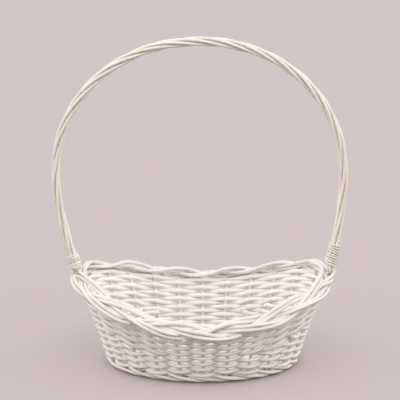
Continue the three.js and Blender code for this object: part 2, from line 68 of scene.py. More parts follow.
# Counts of the real basket, the same as in the frame
STAKES = 24
ROWS = 14
LEVEL_ROWS = 5
WALE_RODS = 3
STRANDS = 5
RIGHT_TURNS = 9
LEFT_TURNS = 8

# Places and sizes of the frame: the mat of the base, the height at which its sticks and the stakes' feet
# lie, the pitch of the rows, and what a rod has to pass beside the bow
mat_low, mat_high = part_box("base_weave")
MAT_HALF_LENGTH, MAT_HALF_WIDTH = mat_high.x, mat_high.y
FOOT_HEIGHT = (mat_low.z + mat_high.z) / 2
ROW_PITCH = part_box("row_02")[0].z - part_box("row_01")[0].z
FRAME_STAKE_RADIUS = 0.0021
FRAME_BOW_RADIUS = 0.0017
ROD_GAP = 0.00045
BESIDE_BOW = FRAME_STAKE_RADIUS + FRAME_BOW_RADIUS + ROD_GAP

# First seed of each kind of rod, so that every run weaves the same basket
STAKE_SEED = 100
PAIR_SEED = 160
ROW_SEED = 300
PACKING_SEED = 400
WALE_SEED = 500
MAT_SEED = 600
BOW_SEED = 700
STRAND_SEED = 800
BINDING_SEED = 900

# Steps between the rings of a rod, and the finer steps of the curves that the rods follow
ROD_STEP = 0.0022
PACKING_STEP = 0.0024
LONG_ROD_STEP = 0.0028
BOW_ROD_STEP = 0.003
RING_STEP = 0.0012
BOW_STEP = 0.001

# Wavelength and size of the wobble that the weaver's hand leaves in each kind of rod, in metres. The size
# is a share in a row's reach, and in the twist it is an angle. The rows and the plait count their wavelength
# with the given length to a station, and the bindings with a length to a radian.
STAKE_WOBBLE = (0.07, 0.00022)
PACKING_WOBBLE = (0.08, 0.00015)
WALE_WOBBLE = (0.12, 0.0002)
ROW_REACH_WOBBLE = (0.09, 0.03)
ROW_HEIGHT_WOBBLE = (0.11, 0.0002)
PAIR_WAVELENGTH = 0.09
STATION_LENGTH = 0.03
TWIST_WOBBLE = (0.16, 0.09)
BUNDLE_WOBBLE = (0.12, 0.00018)
CANE_CLIMB_WOBBLE = (0.09, 0.0002)
CANE_RING_WOBBLE = (0.05, 0.00012)
RADIAN_LENGTH = 0.01


def srgb(red, green, blue):
    """Turns a colour as it is seen, 0 to 255, into the linear values that materials take."""
    linear = []
    for value in (red / 255, green / 255, blue / 255):
        linear.append(value / 12.92 if value <= 0.04045 else ((value + 0.055) / 1.055) ** 2.4)
    return tuple(linear)


def amount(name, description, default):
    return FloatProperty(name=name, description=description, default=default)


def length(name, description, default):
    return FloatProperty(name=name, description=description, default=default, unit="LENGTH", precision=5)


def share(name, description, default):
    return FloatProperty(name=name, description=description, default=default, subtype="FACTOR")


def angle(name, description, degrees):
    return FloatProperty(name=name, description=description, default=math.radians(degrees), subtype="ANGLE")


def colour(name, description, *seen):
    return FloatVectorProperty(
        name=name, description=description, default=srgb(*seen), subtype="COLOR", min=0, max=1
    )


class BasketBody(PropertyGroup):
    """Oval body, measured to the line on which the stakes stand."""

    base_half_length: length("Base half length", "Half the length of the base oval", 0.1108)
    base_half_width: length("Base half width", "Half the width of the base oval", 0.0735)
    rim_flare: length("Rim flare", "How far the rim stands out of the base oval", 0.0396)
    late_flare: share("Late flare", "Share of the flare that comes near the rim", 0.2)
    side_rim_height: length("Rim height at the sides", "Middle of the border, lowest", 0.0765)
    end_rim_height: length("Rim height at the ends", "Middle of the border, highest", 0.112)
    first_row_height: length("First row", "Height of the lowest row of weaving", 0.0123)
    last_row_drop: length("Last row drop", "How far the last row lies below the border", 0.0076)
    elbow_radius: length("Bend of a stake", "Radius of the bend in a stake's foot", 0.005)
    foot_length: length("Foot of a stake", "Length of a stake that lies in the base", 0.016)


class BasketRods(PropertyGroup):
    """Thickness of each kind of rod, as a radius."""

    stake: length("Stake", "Rods that stand in the wall", 0.0021)
    weaver: length("Weaver", "Rods of the rows", 0.0021)
    wale: length("Foot wale", "Rods round the foot", 0.002)
    mat: length("Base weaver", "Rods of the woven base", 0.00165)
    bow: length("Bow", "Core of the handle", 0.0017)
    strand: length("Strand", "Rods twisted round the bow", 0.0019)
    cane_half_width: length("Cane half width", "Half the width of the binding cane", 0.00135)
    cane_half_thickness: length("Cane half thickness", "Half its thickness", 0.0008)


class BasketBorder(PropertyGroup):
    """Plaited border, as seen in section."""

    half_width: length("Half width", "Middle of the plait to the middle of its outer rod", 0.0083)
    half_depth: length("Half depth", "How far the rods rise and sink in the plait", 0.0031)
    tilt: angle("Tilt", "How far the plait leans outward and down", 40)
    back_settle: angle("Back settle", "How much less it leans in the middle of the back", 11)
    rod: length("Rod", "Radius of the stakes where they lie in the plait", 0.0023)
    lane: length("Lane", "From the middle of a strand to each of its two rods", 0.00235)
    tail_end: amount("Tail end", "Stations from a strand's start to its cut ends", 6.1)
    roll: angle("Roll", "How far the two rods of a strand roll over each other", 38)


class BasketHandle(PropertyGroup):
    """Hoop handle, measured to the middle of its bundle of rods."""

    half_width: length("Half width", "Middle to the widest place of the hoop", 0.1723)
    widest_height: length("Widest height", "Height at which the hoop is widest", 0.231)
    top_height: length("Top height", "Height of the top of the hoop", 0.3955)
    lean: length("Lean", "How far the hoop leans to the left", 0.0042)
    foot_rise: length("Foot rise", "Height of the hoop's foot above the border", 0.009)
    foot_out: length("Foot out", "How far its foot stands outside the border", 0.004)
    twist: amount("Twist", "Turns of the strands from foot to foot", 3.8)
    twist_crowding: share("Twist crowding", "How much quicker the twist is over the top", 0.25)
    strands_rise: length("Strands rise", "Where the strands start above the border", 0.003)
    right_binding_rise: length("Right binding rise", "From the strands' ends to the right binding", 0.0064)
    left_binding_rise: length("Left binding rise", "From the strands' ends to the left binding", 0.0027)
    right_binding: length("Right binding", "Length of the binding at the right", 0.0275)
    left_binding: length("Left binding", "Length of the binding at the left", 0.0172)


class BasketPaint(PropertyGroup):
    """Colours of the paint and the wood."""

    white: colour("White", "Paint on the weaving", 251, 248, 246)
    white_shade: colour("White shade", "Paint where it is thin", 243, 234, 229)
    # The stakes and the border take the weaving's white paint, darkened a little as painted shade on the
    # rim, and so do its thin places
    border_white: colour("Border white", "Paint on the stakes and the border", 241, 233, 230)
    border_shade: colour("Border shade", "Stake paint where it is thin", 233, 224, 219)
    cream: colour("Cream", "Paint on the handle", 254, 247, 242)
    cream_shade: colour("Cream shade", "Handle paint where it is thin", 242, 229, 216)
    wood: colour("Wood", "Bare willow under worn paint", 216, 190, 158)
    cane: colour("Cane", "Binding cane", 250, 242, 235)
    cane_shade: colour("Cane shade", "Binding cane in its grooves", 233, 218, 204)


class BasketStage(PropertyGroup):
    """Camera, floor and light."""

    distance: length("Camera distance", "From the camera to its target", 1.8)
    elevation: angle("Camera elevation", "How far the camera looks down", 14.5)
    target_height: length("Target height", "Height of the point in the middle of the picture", 0.204)
    target_side: length("Target side", "How far that point lies to the right", -0.0036)
    lens: amount("Lens", "Focal length in millimetres", 135)
    floor: colour("Floor", "Floor and background", 204, 189, 191)
    bounce: colour("Bounce", "Floor as it lights the basket from below", 136, 117, 105)
    floor_glow: share("Floor glow", "Share of the floor's colour that no shadow reaches", 0.55)
    sky: amount("Sky strength", "Light from all round", 0.64)
    top_lamp: amount("Top lamp", "Soft light from above the camera", 1.0)
    side_lamp: amount("Side lamps", "Soft light from the left and the right", 1.3)


def unit(vectors):
    return vectors / np.linalg.norm(vectors, axis=-1, keepdims=True)


def walked(path):
    """Distance from the first point to each point, along the path."""
    steps = np.linalg.norm(np.diff(path, axis=0), axis=1)
    return np.concatenate([[0.0], np.cumsum(steps)])


def resampled(path, spacing):
    """The same path in even steps of about the given length."""
    along = walked(path)
    count = max(int(round(along[-1] / spacing)), 2)
    even = np.linspace(0, along[-1], count + 1)
    return np.stack([np.interp(even, along, path[:, axis]) for axis in range(3)], axis=1)


def curve_through(points, samples=10):
    """A smooth curve through the points, with the given samples on each span."""
    points = np.asarray(points, float)
    spans = np.sqrt(np.linalg.norm(np.diff(points, axis=0), axis=1))[:, None]
    pulls = np.diff(points, axis=0) / spans
    slopes = np.empty_like(points)
    slopes[0], slopes[-1] = pulls[0], pulls[-1]
    wide = (points[2:] - points[:-2]) / (spans[1:] + spans[:-1])
    slopes[1:-1] = pulls[:-1] - wide + pulls[1:]
    part = np.linspace(0, 1, samples, endpoint=False)[None, :, None]
    start, end = points[:-1, None], points[1:, None]
    leave, arrive = (slopes[:-1] * spans)[:, None], (slopes[1:] * spans)[:, None]
    curve = (
        start * (1 + 2 * part) * (1 - part) ** 2
        + leave * part * (1 - part) ** 2
        + end * part**2 * (3 - 2 * part)
        + arrive * part**2 * (part - 1)
    )
    return np.concatenate([curve.reshape(-1, 3), points[-1:]])


def waves(rng, along, wavelength, size, count=3):
    """A smooth seeded wobble along a rod: a few sines of unlike length."""
    total = np.zeros_like(along)
    for _ in range(count):
        total += np.sin(TURN * along / (wavelength * rng.uniform(0.6, 1.7)) + rng.uniform(0, TURN))
    return size * total / math.sqrt(count)


def wobbled(path, rng, wavelength, size):
    """The path with a smooth seeded wobble in each direction."""
    along = walked(path)
    return path + np.stack([waves(rng, along, wavelength, size) for _ in range(3)], axis=1)


class Wall:
    """Where things lie on the oval wall, by station and height."""

    # Steps in which the oval is measured, and the part of a station that shows the wall's direction
    walk_steps = 1440
    nudge = 0.01

    def __init__(self, body, border):
        self.body, self.border_sizes = body, border
        angles = np.linspace(0, TURN, self.walk_steps + 1)
        middle = self.oval(angles) + self.outward(angles) * body.rim_flare / 2
        lengths = walked(middle)
        self.angles, self.walked_shares = angles, lengths / lengths[-1]

    def oval(self, angles):
        sizes = self.body
        x, y = sizes.base_half_length * np.cos(angles), sizes.base_half_width * np.sin(angles)
        return np.stack([x, y, np.zeros_like(angles)], -1)

    def outward(self, angles):
        sizes = self.body
        x, y = sizes.base_half_width * np.cos(angles), sizes.base_half_length * np.sin(angles)
        return unit(np.stack([x, y, np.zeros_like(angles)], -1))

    def angle(self, station):
        turns = np.floor(np.asarray(station, float) / STAKES)
        part = station / STAKES - turns
        return TURN * turns + np.interp(part, self.walked_shares, self.angles)

    def out(self, station):
        return self.outward(self.angle(station))

    def rim_height(self, station):
        rise = np.cos(self.angle(station)) ** 2
        return self.body.side_rim_height + (self.body.end_rim_height - self.body.side_rim_height) * rise

    def slope(self, station, height):
        rim, late = self.rim_height(station), self.body.late_flare
        return self.body.rim_flare / rim * (1 - late + 2 * late * height / rim)

    def normal(self, station, height):
        return unit(self.out(station) - UP * np.asarray(self.slope(station, height))[..., None])

    def point(self, station, height, offset=0.0):
        station, height = np.broadcast_arrays(np.asarray(station, float), np.asarray(height, float))
        part, late = height / self.rim_height(station), self.body.late_flare
        flare = self.body.rim_flare * part * (1 - late + late * part)
        foot = self.oval(self.angle(station)) + self.out(station) * flare[..., None]
        place = foot + UP * height[..., None]
        return place + self.normal(station, height) * np.asarray(offset)[..., None]

    def beside(self, station, height, distance):
        """The station a small distance along the wall from another one."""
        ahead = self.point(station + self.nudge, height)
        back = self.point(station - self.nudge, height)
        step = np.linalg.norm(ahead - back, axis=-1)
        return station + distance * 2 * self.nudge / step

    def elbow(self, station, reach, below):
        """A point round the bend of a stake's foot, by the angle below level."""
        sizes = self.body
        slope = self.slope(station, 0.0)
        middle_height = FOOT_HEIGHT + sizes.elbow_radius
        middle_out = slope * middle_height - sizes.elbow_radius * np.sqrt(1 + slope**2)
        out = self.out(station) * np.asarray(middle_out + reach * np.cos(below))[..., None]
        rise = np.asarray(middle_height - reach * np.sin(below))[..., None]
        return self.oval(self.angle(station)) + out + UP * rise

    def border_tilt(self, station):
        back = np.maximum(np.sin(self.angle(station)), 0)
        return self.border_sizes.tilt - self.border_sizes.back_settle * back

    def border(self, station, across, through):
        """A point in the section of the border, across it and through it."""
        tilt = self.border_tilt(station)
        radial = across * np.cos(tilt) + through * np.sin(tilt)
        rise = through * np.cos(tilt) - across * np.sin(tilt) + self.rim_height(station)
        out = self.out(station) * np.asarray(self.body.rim_flare + radial)[..., None]
        return self.oval(self.angle(station)) + out + UP * np.asarray(rise)[..., None]

    def border_top(self, station):
        tilt = self.border_tilt(station)[..., None]
        return self.out(station) * np.sin(tilt) + UP * np.cos(tilt)


class Skin:
    """Gathers rods and makes one piece of them."""

    # Cut ends, as shares of the rod's radius
    end_bevel_share = 0.18
    end_radius_share = 0.86
    cut_slant = 0.35
    # Uneven growth: long swells, an oval section that drifts round, and knots drawn from these ranges
    swell_wavelength = 0.05
    lump_wavelength = 0.04
    lump_share = 0.6
    knot_half_length = 0.0016
    knot_swells = (0.02, 0.09)
    first_knots = (0.01, 0.08)
    knot_spacings = (0.035, 0.09)
    # How upright a rod may start before its sides are measured from another axis
    steepest = 0.9
    # Range from which each rod draws its place in the grain of the wood
    grain_spread = 4

    def __init__(self):
        self.points, self.quads, self.caps = [], [], []
        self.grain, self.tones = [], []
        self.size = 0

    def add_rod(self, path, radius, rng, sides=10, outward=None, flat=1.0, swell=0.03):
        """A rod along the path, with the uneven thickness, knots and slanting cut ends of grown willow."""
        path = np.asarray(path, float)
        radii = np.broadcast_to(np.asarray(radius, float), len(path)).copy()
        path, radii, given = self.with_bevels(path, radii, outward)
        along = walked(path)
        tangents = unit(np.gradient(path, along, axis=0))
        side = self.carried_sides(tangents) if given is None else given
        side = unit(side - tangents * np.sum(side * tangents, axis=1, keepdims=True))
        lift = np.cross(tangents, side)
        radii *= 1 + waves(rng, along, self.swell_wavelength, swell) + self.knots(rng, along)
        radii[[0, -1]] *= self.end_radius_share
        around = np.arange(sides) * TURN / sides
        drift = waves(rng, along, self.lump_wavelength, 1.0)[:, None]
        lumps = 1 + self.lump_share * swell * np.sin(2 * around[None, :] + drift)
        ring = radii[:, None] * lumps
        x, y = ring * np.cos(around), ring * np.sin(around) * flat
        corners = path[:, None] + side[:, None] * x[..., None] + lift[:, None] * y[..., None]
        for end, way in ((slice(0, 2), rng.uniform(-1, 1)), (slice(-2, None), rng.uniform(-1, 1))):
            corners[end] += tangents[end, None] * (self.cut_slant * way * x[end])[..., None]
        self.stitch(corners, along, x, y, rng)

    def with_bevels(self, path, radii, outward):
        """Adds a ring just inside each end, so that the cut has a worn edge."""
        first = path[0] + unit(path[1] - path[0]) * radii[0] * self.end_bevel_share
        last = path[-1] + unit(path[-2] - path[-1]) * radii[-1] * self.end_bevel_share
        path = np.concatenate([path[:1], [first], path[1:-1], [last], path[-1:]])
        radii = np.concatenate([radii[:1], radii[:1], radii[1:-1], radii[-1:], radii[-1:]])
        if outward is not None:
            outward = np.concatenate([outward[:1], outward[:1], outward[1:-1], outward[-1:], outward[-1:]])
        return path, radii, outward

    def carried_sides(self, tangents):
        """Directions square to the path that don't twist along it."""
        helper = UP if abs(tangents[0] @ UP) < self.steepest else ACROSS
        side = np.cross(tangents[0], helper)
        sides = np.empty_like(tangents)
        for index, tangent in enumerate(tangents):
            side = side - tangent * (side @ tangent)
            side = side / np.linalg.norm(side)
            sides[index] = side
        return sides

    def knots(self, rng, along):
        """Low swellings where side shoots were trimmed off."""
        total = np.zeros_like(along)
        place = rng.uniform(*self.first_knots)
        while place < along[-1]:
            bulge = np.exp(-(((along - place) / self.knot_half_length) ** 2))
            total += rng.uniform(*self.knot_swells) * bulge
            place += rng.uniform(*self.knot_spacings)
        return total

    def stitch(self, corners, along, x, y, rng):
        """Joins the rings of a rod with faces, and gives its points their grain and tone."""
        rings, sides = corners.shape[:2]
        ring = np.arange(rings - 1)[:, None] * sides
        here, beyond = np.arange(sides)[None, :], (np.arange(sides)[None, :] + 1) % sides
        quads = np.stack([ring + here, ring + beyond, ring + sides + beyond, ring + sides + here], -1)
        centres = self.size + rings * sides + np.arange(2)
        here, beyond = np.arange(sides), (np.arange(sides) + 1) % sides
        last = (rings - 1) * sides + self.size
        start_cap = np.stack([np.full(sides, centres[0]), self.size + beyond, self.size + here], -1)
        end_cap = np.stack([np.full(sides, centres[1]), last + here, last + beyond], -1)
        self.points.append(np.concatenate([corners.reshape(-1, 3), corners[[0, -1]].mean(axis=1)]))
        self.quads.append(self.size + quads.reshape(-1, 4))
        self.caps.extend([start_cap, end_cap])
        depth = np.broadcast_to(along[:, None], x.shape)
        grain = np.stack([x, y, depth], -1).reshape(-1, 3)
        ends = np.array([[0, 0, along[0]], [0, 0, along[-1]]])
        self.grain.append(np.concatenate([grain, ends]) + rng.uniform(0, self.grain_spread, 3))
        self.tones.append(np.full(rings * sides + 2, rng.uniform(0, 1)))
        self.size += rings * sides + 2

    def make(self, name, finish, slot, *nodes):
        """One piece of the basket, which rides on the frame and stands for the given nodes."""
        mesh = bpy.data.meshes.new(name)
        quads, caps = np.concatenate(self.quads), np.concatenate(self.caps)
        mesh.from_pydata(np.concatenate(self.points).tolist(), [], quads.tolist() + caps.tolist())
        kinds = np.concatenate([np.zeros(len(quads), np.int32), np.ones(len(caps), np.int32)])
        mesh.polygons.foreach_set("material_index", kinds)
        mesh.polygons.foreach_set("use_smooth", kinds == 0)
        grain = mesh.attributes.new("grain", "FLOAT_VECTOR", "POINT")
        grain.data.foreach_set("vector", np.concatenate(self.grain).astype(np.float32).ravel())
        tones = mesh.attributes.new("tone", "FLOAT", "POINT")
        tones.data.foreach_set("value", np.concatenate(self.tones).astype(np.float32))
        for material in (finish, finish_named("cut_willow")):
            mesh.materials.append(material)
        mesh.update()
        piece = bpy.data.objects.new(name, mesh)
        bpy.context.scene.collection.objects.link(piece)
        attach(piece, "root")
        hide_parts(*nodes)


def make_rod(node, kind, finish, slot, path, radius, rng, **looks):
    """A rod that is a piece by itself and stands for one node of the frame."""
    skin = Skin()
    skin.add_rod(path, radius, rng, **looks)
    skin.make(f"{kind}_{node}", finish_named(finish), slot, node)


class Finish:
    """A material's nodes, with short ways to add and join them.

    The grain follows each rod, or the axis that is given for the straight sticks of the frame.
    """

    def __init__(self, name, along=None):
        self.along = along
        self.material = bpy.data.materials.new(name)
        self.material.use_nodes = True
        self.tree = self.material.node_tree
        self.shader = self.tree.nodes["Principled BSDF"]

    def add(self, kind, settings=None, **sockets):
        node = self.tree.nodes.new(kind)
        for key, value in (settings or {}).items():
            setattr(node, key, value)
        for key, value in sockets.items():
            self.feed(node.inputs[key.replace("_", " ")], value)
        return node

    def feed(self, socket, value):
        if isinstance(value, bpy.types.NodeSocket):
            self.tree.links.new(value, socket)
        else:
            socket.default_value = value

    def grain(self, stretch):
        """Coordinates that run along the rod, drawn out by the given share."""
        if self.along:
            places = self.add("ShaderNodeTexCoord").outputs["Object"]
        else:
            places = self.add("ShaderNodeAttribute", {"attribute_name": "grain"}).outputs["Vector"]
        scaled = self.add("ShaderNodeVectorMath", {"operation": "MULTIPLY"})
        self.feed(scaled.inputs[0], places)
        shares = {"x": (stretch, 1, 1), "y": (1, stretch, 1)}
        scaled.inputs[1].default_value = shares.get(self.along, (1, 1, stretch))
        return scaled.outputs[0]

    def noise(self, stretch, scale, detail=3, roughness=0.55):
        looks = {"Scale": scale, "Detail": detail, "Roughness": roughness}
        return self.add("ShaderNodeTexNoise", Vector=self.grain(stretch), **looks).outputs["Fac"]

    def spread(self, value, low, high, least=0.0, most=1.0):
        """Draws the values from low to high out over least to most."""
        node = self.add("ShaderNodeMapRange", {"interpolation_type": "SMOOTHSTEP"}, Value=value)
        for socket, number in zip(node.inputs[1:5], (low, high, least, most)):
            socket.default_value = number
        return node.outputs["Result"]

    def mixed(self, factor, first, second):
        """The first colour, and the second where the factor is 1."""
        node = self.add("ShaderNodeMix", {"data_type": "RGBA"})
        self.feed(node.inputs[0], factor)
        for socket, value in ((node.inputs[6], first), (node.inputs[7], second)):
            self.feed(socket, value if isinstance(value, bpy.types.NodeSocket) else (*value, 1))
        return node.outputs[2]

    def scaled(self, value, factor):
        node = self.add("ShaderNodeMath", {"operation": "MULTIPLY"})
        self.feed(node.inputs[0], value)
        node.inputs[1].default_value = factor
        return node.outputs[0]

    def added(self, first, second):
        node = self.add("ShaderNodeMath", {"operation": "ADD"})
        self.feed(node.inputs[0], first)
        self.feed(node.inputs[1], second)
        return node.outputs[0]

    def bump(self, height, distance, strength=0.6):
        node = self.add("ShaderNodeBump", Height=height, Distance=distance, Strength=strength)
        self.feed(self.shader.inputs["Normal"], node.outputs["Normal"])


def painted_finish(name, paint, shade, wood, wear=0.5, gloss=0.0, along=None):
    """Willow under thin paint, with streaks along the rod, thin places and wood that shows where it wore."""
    finish = Finish(name, along)
    tone = finish.add("ShaderNodeAttribute", {"attribute_name": "tone"}).outputs["Fac"]
    fibres = finish.noise(stretch=0.05, scale=1900, detail=4)
    clouds = finish.noise(stretch=0.3, scale=120)
    lumps = finish.noise(stretch=0.7, scale=520, detail=2)
    patches = finish.noise(stretch=0.22, scale=420, detail=5, roughness=0.65)
    clouded = finish.scaled(finish.spread(clouds, low=0.38, high=0.68), factor=0.6)
    thin = finish.added(clouded, finish.scaled(tone, factor=0.4))
    coat = finish.mixed(thin, paint, shade)
    streaks = finish.scaled(finish.spread(fibres, low=0.5, high=0.72), factor=0.3)
    streaked = finish.mixed(streaks, coat, shade)
    worn = finish.scaled(finish.spread(patches, low=0.64, high=0.74), factor=wear)
    finish.feed(finish.shader.inputs["Base Color"], finish.mixed(worn, streaked, wood))
    roughness = finish.spread(fibres, low=0.3, high=0.7, least=0.44 - gloss, most=0.66 - gloss)
    finish.feed(finish.shader.inputs["Roughness"], roughness)
    finish.shader.inputs["Specular IOR Level"].default_value = 0.42
    finish.bump(finish.added(finish.scaled(fibres, factor=0.5), lumps), distance=0.00022)
    return finish.material


def cut_finish(name, wood, pale):
    """Cut end of a rod, where the wood shows through a smear of paint."""
    finish = Finish(name)
    rings = finish.noise(stretch=0.2, scale=1500)
    smear = finish.noise(stretch=0.2, scale=500, detail=2)
    face = finish.mixed(finish.spread(rings, low=0.35, high=0.65), wood, pale)
    smeared = finish.mixed(finish.spread(smear, low=0.4, high=0.6), face, pale)
    finish.feed(finish.shader.inputs["Base Color"], smeared)
    roughness = finish.spread(rings, low=0.3, high=0.7, least=0.6, most=0.8)
    finish.feed(finish.shader.inputs["Roughness"], roughness)
    finish.bump(rings, distance=0.0002)
    return finish.material


def cane_finish(name, cane, shade):
    """Flat binding cane: smooth skin with fine lines along it."""
    finish = Finish(name)
    lines = finish.noise(stretch=0.03, scale=2600)
    clouds = finish.noise(stretch=0.5, scale=160)
    base = finish.mixed(finish.spread(clouds, low=0.35, high=0.7), cane, shade)
    grooves = finish.scaled(finish.spread(lines, low=0.45, high=0.7), factor=0.5)
    finish.feed(finish.shader.inputs["Base Color"], finish.mixed(grooves, base, shade))
    roughness = finish.spread(clouds, low=0.3, high=0.7, least=0.36, most=0.52)
    finish.feed(finish.shader.inputs["Roughness"], roughness)
    finish.bump(lines, distance=0.00012)
    return finish.material


# Coat, its shade where it is thin, wear, gloss, and the axis of the grain for the straight sticks
PAINTED = {
    # The stakes' coat is the white darkened as painted shade on the rim
    "painted_stakes": ("border_white", "border_shade", 0.35),
    "painted_weavers": ("white", "white_shade", 0.45),
    "painted_wale": ("white", "cream_shade", 0.5),
    "painted_base": ("white", "white_shade", 0.5),
    "cross_sticks": ("cream_shade", "white_shade", 0.8, 0.0, "y"),
    "long_sticks": ("cream_shade", "white_shade", 0.8, 0.0, "x"),
    "painted_handle": ("cream", "cream_shade", 0.4, 0.06),
}


def finish_named(name):
    """The finish of that name, made on its first use."""
    found = bpy.data.materials.get(name)
    if found:
        return found
    paint = bpy.context.scene.basket_paint
    if name == "cut_willow":
        return cut_finish(name, paint.wood, paint.white)
    if name == "binding_cane":
        return cane_finish(name, paint.cane, paint.cane_shade)
    coat, shade, *looks = PAINTED[name]
    return painted_finish(name, getattr(paint, coat), getattr(paint, shade), paint.wood, *looks)


def wall_of(context):
    return Wall(context.scene.basket_body, context.scene.basket_border)


def stake_station(wall, index, height):
    """The station of a stake, which stands beside the bow at the two ends of the basket."""
    return wall.beside(float(index), height, BESIDE_BOW if index % (STAKES // 2) == 0 else 0.0)


# A stake's foot in the base, the share of it next to the bend that has no point, and the bend above it
FOOT_POINTS = 4
FOOT_NEAR_SHARE = 0.25
BEND_POINTS = 6

# The upright part of a stake, in shares of the height of the rim
UPRIGHT_SHARES = (0.2, 0.87)
UPRIGHT_POINTS = 6

# Way of a stake into the border: share of a station, shares of the plait's half width and half depth, how
# far the rod's face has turned upward, and how far it has parted from the strand's other rod
ENTRY_SHARES = ((0.03, 0.2, -2.3, 0.1, 0.0), (0.14, 0.3, -1.9, 0.3, 0.4), (0.3, 0.42, -1.3, 0.6, 0.8))

# Where the first and the second stake of a strand enter the plait, in stations from the stake, and how the
# plait turns from there, station by station
PLAIT_ENTRY = (1.05, 0.5)
PLAIT_ENTRY_ANGLE = math.radians(150)
PLAIT_TURN = math.radians(60)
PLAIT_STEPS = 5

# Past its last outer edge a tail stays near that edge. The second tail of a strand ends after the first,
# and each is cut a little longer or shorter, in stations.
TAIL_ANGLE = math.radians(450)
TAIL_TURN_SHARE = 0.85
TAIL_ENDS = (-0.15, 0.35)
TAIL_SPREAD = 0.2

# The two rods of a strand part round the bow, where they pass near the middle of the plait
BOW_PARTING = 0.75
BOW_PARTING_REACH = 0.3
BOW_PARTING_ACROSS = 0.6

# Thickness of the stakes in the border, how soon above the wall they reach it, and their thinner tails
BORDER_ROD_SHARES = (0.93, 1.04)
BORDER_ROD_FROM = 1.3
TAIL_ROD_SHARE = 0.93


def plait_way(wall, index, first, end):
    """Points of a rod in the plait, the directions of its upper face, and how far the strand's rods part.

    Two neighbouring stakes make one strand. Both ends count in stations from the second of them.
    """
    travel = np.linspace(first, end, int(round((end - first) * PLAIT_STEPS)) + 1)
    turned = PLAIT_ENTRY_ANGLE + PLAIT_TURN * (travel - PLAIT_ENTRY[1])
    turned = np.minimum(turned, TAIL_ANGLE) + TAIL_TURN_SHARE * np.maximum(turned - TAIL_ANGLE, 0)
    sizes = wall.border_sizes
    stations = index - index % 2 + 1 + travel
    points = wall.border(stations, sizes.half_width * np.sin(turned), sizes.half_depth * np.sin(2 * turned))
    from_bow = np.abs((stations + STAKES // 4) % (STAKES // 2) - STAKES // 4)
    parted = BOW_PARTING * np.exp(-((from_bow / BOW_PARTING_REACH) ** 2))
    inside = np.abs(np.sin(turned)) < BOW_PARTING_ACROSS
    return points, wall.border_top(stations), 1 + parted * inside


def entry_way(wall, index):
    """Points of a stake on its way into the plait, with its faces and how far it parts from its pair."""
    start = stake_station(wall, index, wall.rim_height(float(index))) - index
    travel, across, through, upward, parted = np.array(ENTRY_SHARES).T
    stations = index + start + travel * (1 - start)
    sizes = wall.border_sizes
    points = wall.border(stations, across * sizes.half_width, through * sizes.half_depth)
    return points, unit(wall.out(stations) + UP * upward[:, None]), parted


def upright_way(wall, index):
    """Points and faces of the upright part of a stake."""
    heights = np.linspace(*UPRIGHT_SHARES, UPRIGHT_POINTS) * wall.rim_height(float(index))
    stations = np.array([stake_station(wall, index, height) for height in heights])
    return wall.point(stations, heights), wall.normal(stations, heights)


def foot_way(wall, index):
    """The foot of a stake in the base and its bend up into the wall."""
    sizes = wall.body
    station = stake_station(wall, index, FOOT_HEIGHT)
    below = np.linspace(math.pi / 2, math.atan(wall.slope(station, 0.0)), BEND_POINTS)
    bend = np.array([wall.elbow(station, sizes.elbow_radius, turn) for turn in below])
    level = np.linspace(sizes.foot_length, sizes.foot_length * FOOT_NEAR_SHARE, FOOT_POINTS)
    return np.concatenate([bend[0] - wall.out(station) * level[:, None], bend])


def stood_beside(points, faces, distance, roll):
    """The same way moved by a distance, sideways in the plane of its faces, or rolled out of that plane."""
    tangents = unit(np.gradient(points, axis=0))
    sideways = unit(np.cross(faces, tangents))
    upward = np.cross(tangents, sideways)
    return points - (sideways * np.cos(roll)[:, None] - upward * np.sin(roll)[:, None]) * distance[:, None]


class BASKET_OT_stakes(Operator):
    """Stakes from their feet in the base up the wall and down into the plaited border"""

    bl_idname = "basket.stakes"
    bl_label = "Stakes"

    def execute(self, context):
        wall, rods = wall_of(context), context.scene.basket_rods
        border = context.scene.basket_border
        for index in range(STAKES):
            rng = np.random.default_rng(STAKE_SEED + index)
            second = index % 2
            upright, upright_faces = upright_way(wall, index)
            entry, entry_faces, entry_parted = entry_way(wall, index)
            first = PLAIT_ENTRY[second] - 1 + second
            end = border.tail_end + TAIL_ENDS[second] + rng.uniform(-TAIL_SPREAD, TAIL_SPREAD)
            plait, plait_faces, parted = plait_way(wall, index, first, end)
            points = np.concatenate([upright, entry, plait])
            faces = np.concatenate([upright_faces, entry_faces, plait_faces])
            aside = np.concatenate([np.zeros(len(upright)), entry_parted, parted])
            aside *= border.lane * (1 if second else -1)
            pair_rng = np.random.default_rng(PAIR_SEED + index // 2)
            along = STATION_LENGTH * np.arange(len(points)) / PLAIT_STEPS
            roll = waves(pair_rng, along, PAIR_WAVELENGTH, border.roll)
            roll[:len(upright) + len(entry)] = 0
            points = stood_beside(points, faces, aside, roll)
            path = resampled(curve_through(np.concatenate([foot_way(wall, index), points])), ROD_STEP)
            along = walked(path)
            path = wobbled(path, rng, *STAKE_WOBBLE)
            wall_length = wall.rim_height(float(index)) + wall.body.foot_length
            thick = border.rod * rng.uniform(*BORDER_ROD_SHARES)
            marks = (0, wall_length, wall_length * BORDER_ROD_FROM, along[-1])
            radii = np.interp(along, marks, (rods.stake, rods.stake, thick, thick * TAIL_ROD_SHARE))
            node = f"stake_{index + 1:02d}"
            looks = {"sides": 12, "swell": 0.04}
            make_rod(node, "willow", "painted_stakes", "stakes_and_border", path, radii, rng, **looks)
        return {"FINISHED"}


# Stations at which the rows begin and end in turn, and how far from there
SEAMS = (15, 18, 17, 20, 19, 16)
SEAM_HALF_GAP = 0.0012


def wedge_room(wall, distance):
    """Height that an end of the basket has over its sides, by stakes from the middle of the end."""
    return wall.rim_height(np.asarray(distance, float)) - wall.body.side_rim_height


def turning_stake(wall, number):
    """The stake round which the given pass of packing turns back."""
    near = np.arange(1, STAKES // 4)
    room = wedge_room(wall, near)
    wanted = (number - 0.5) * ROW_PITCH
    return max(int(near[np.sum(room > wanted) - 1]), 1)


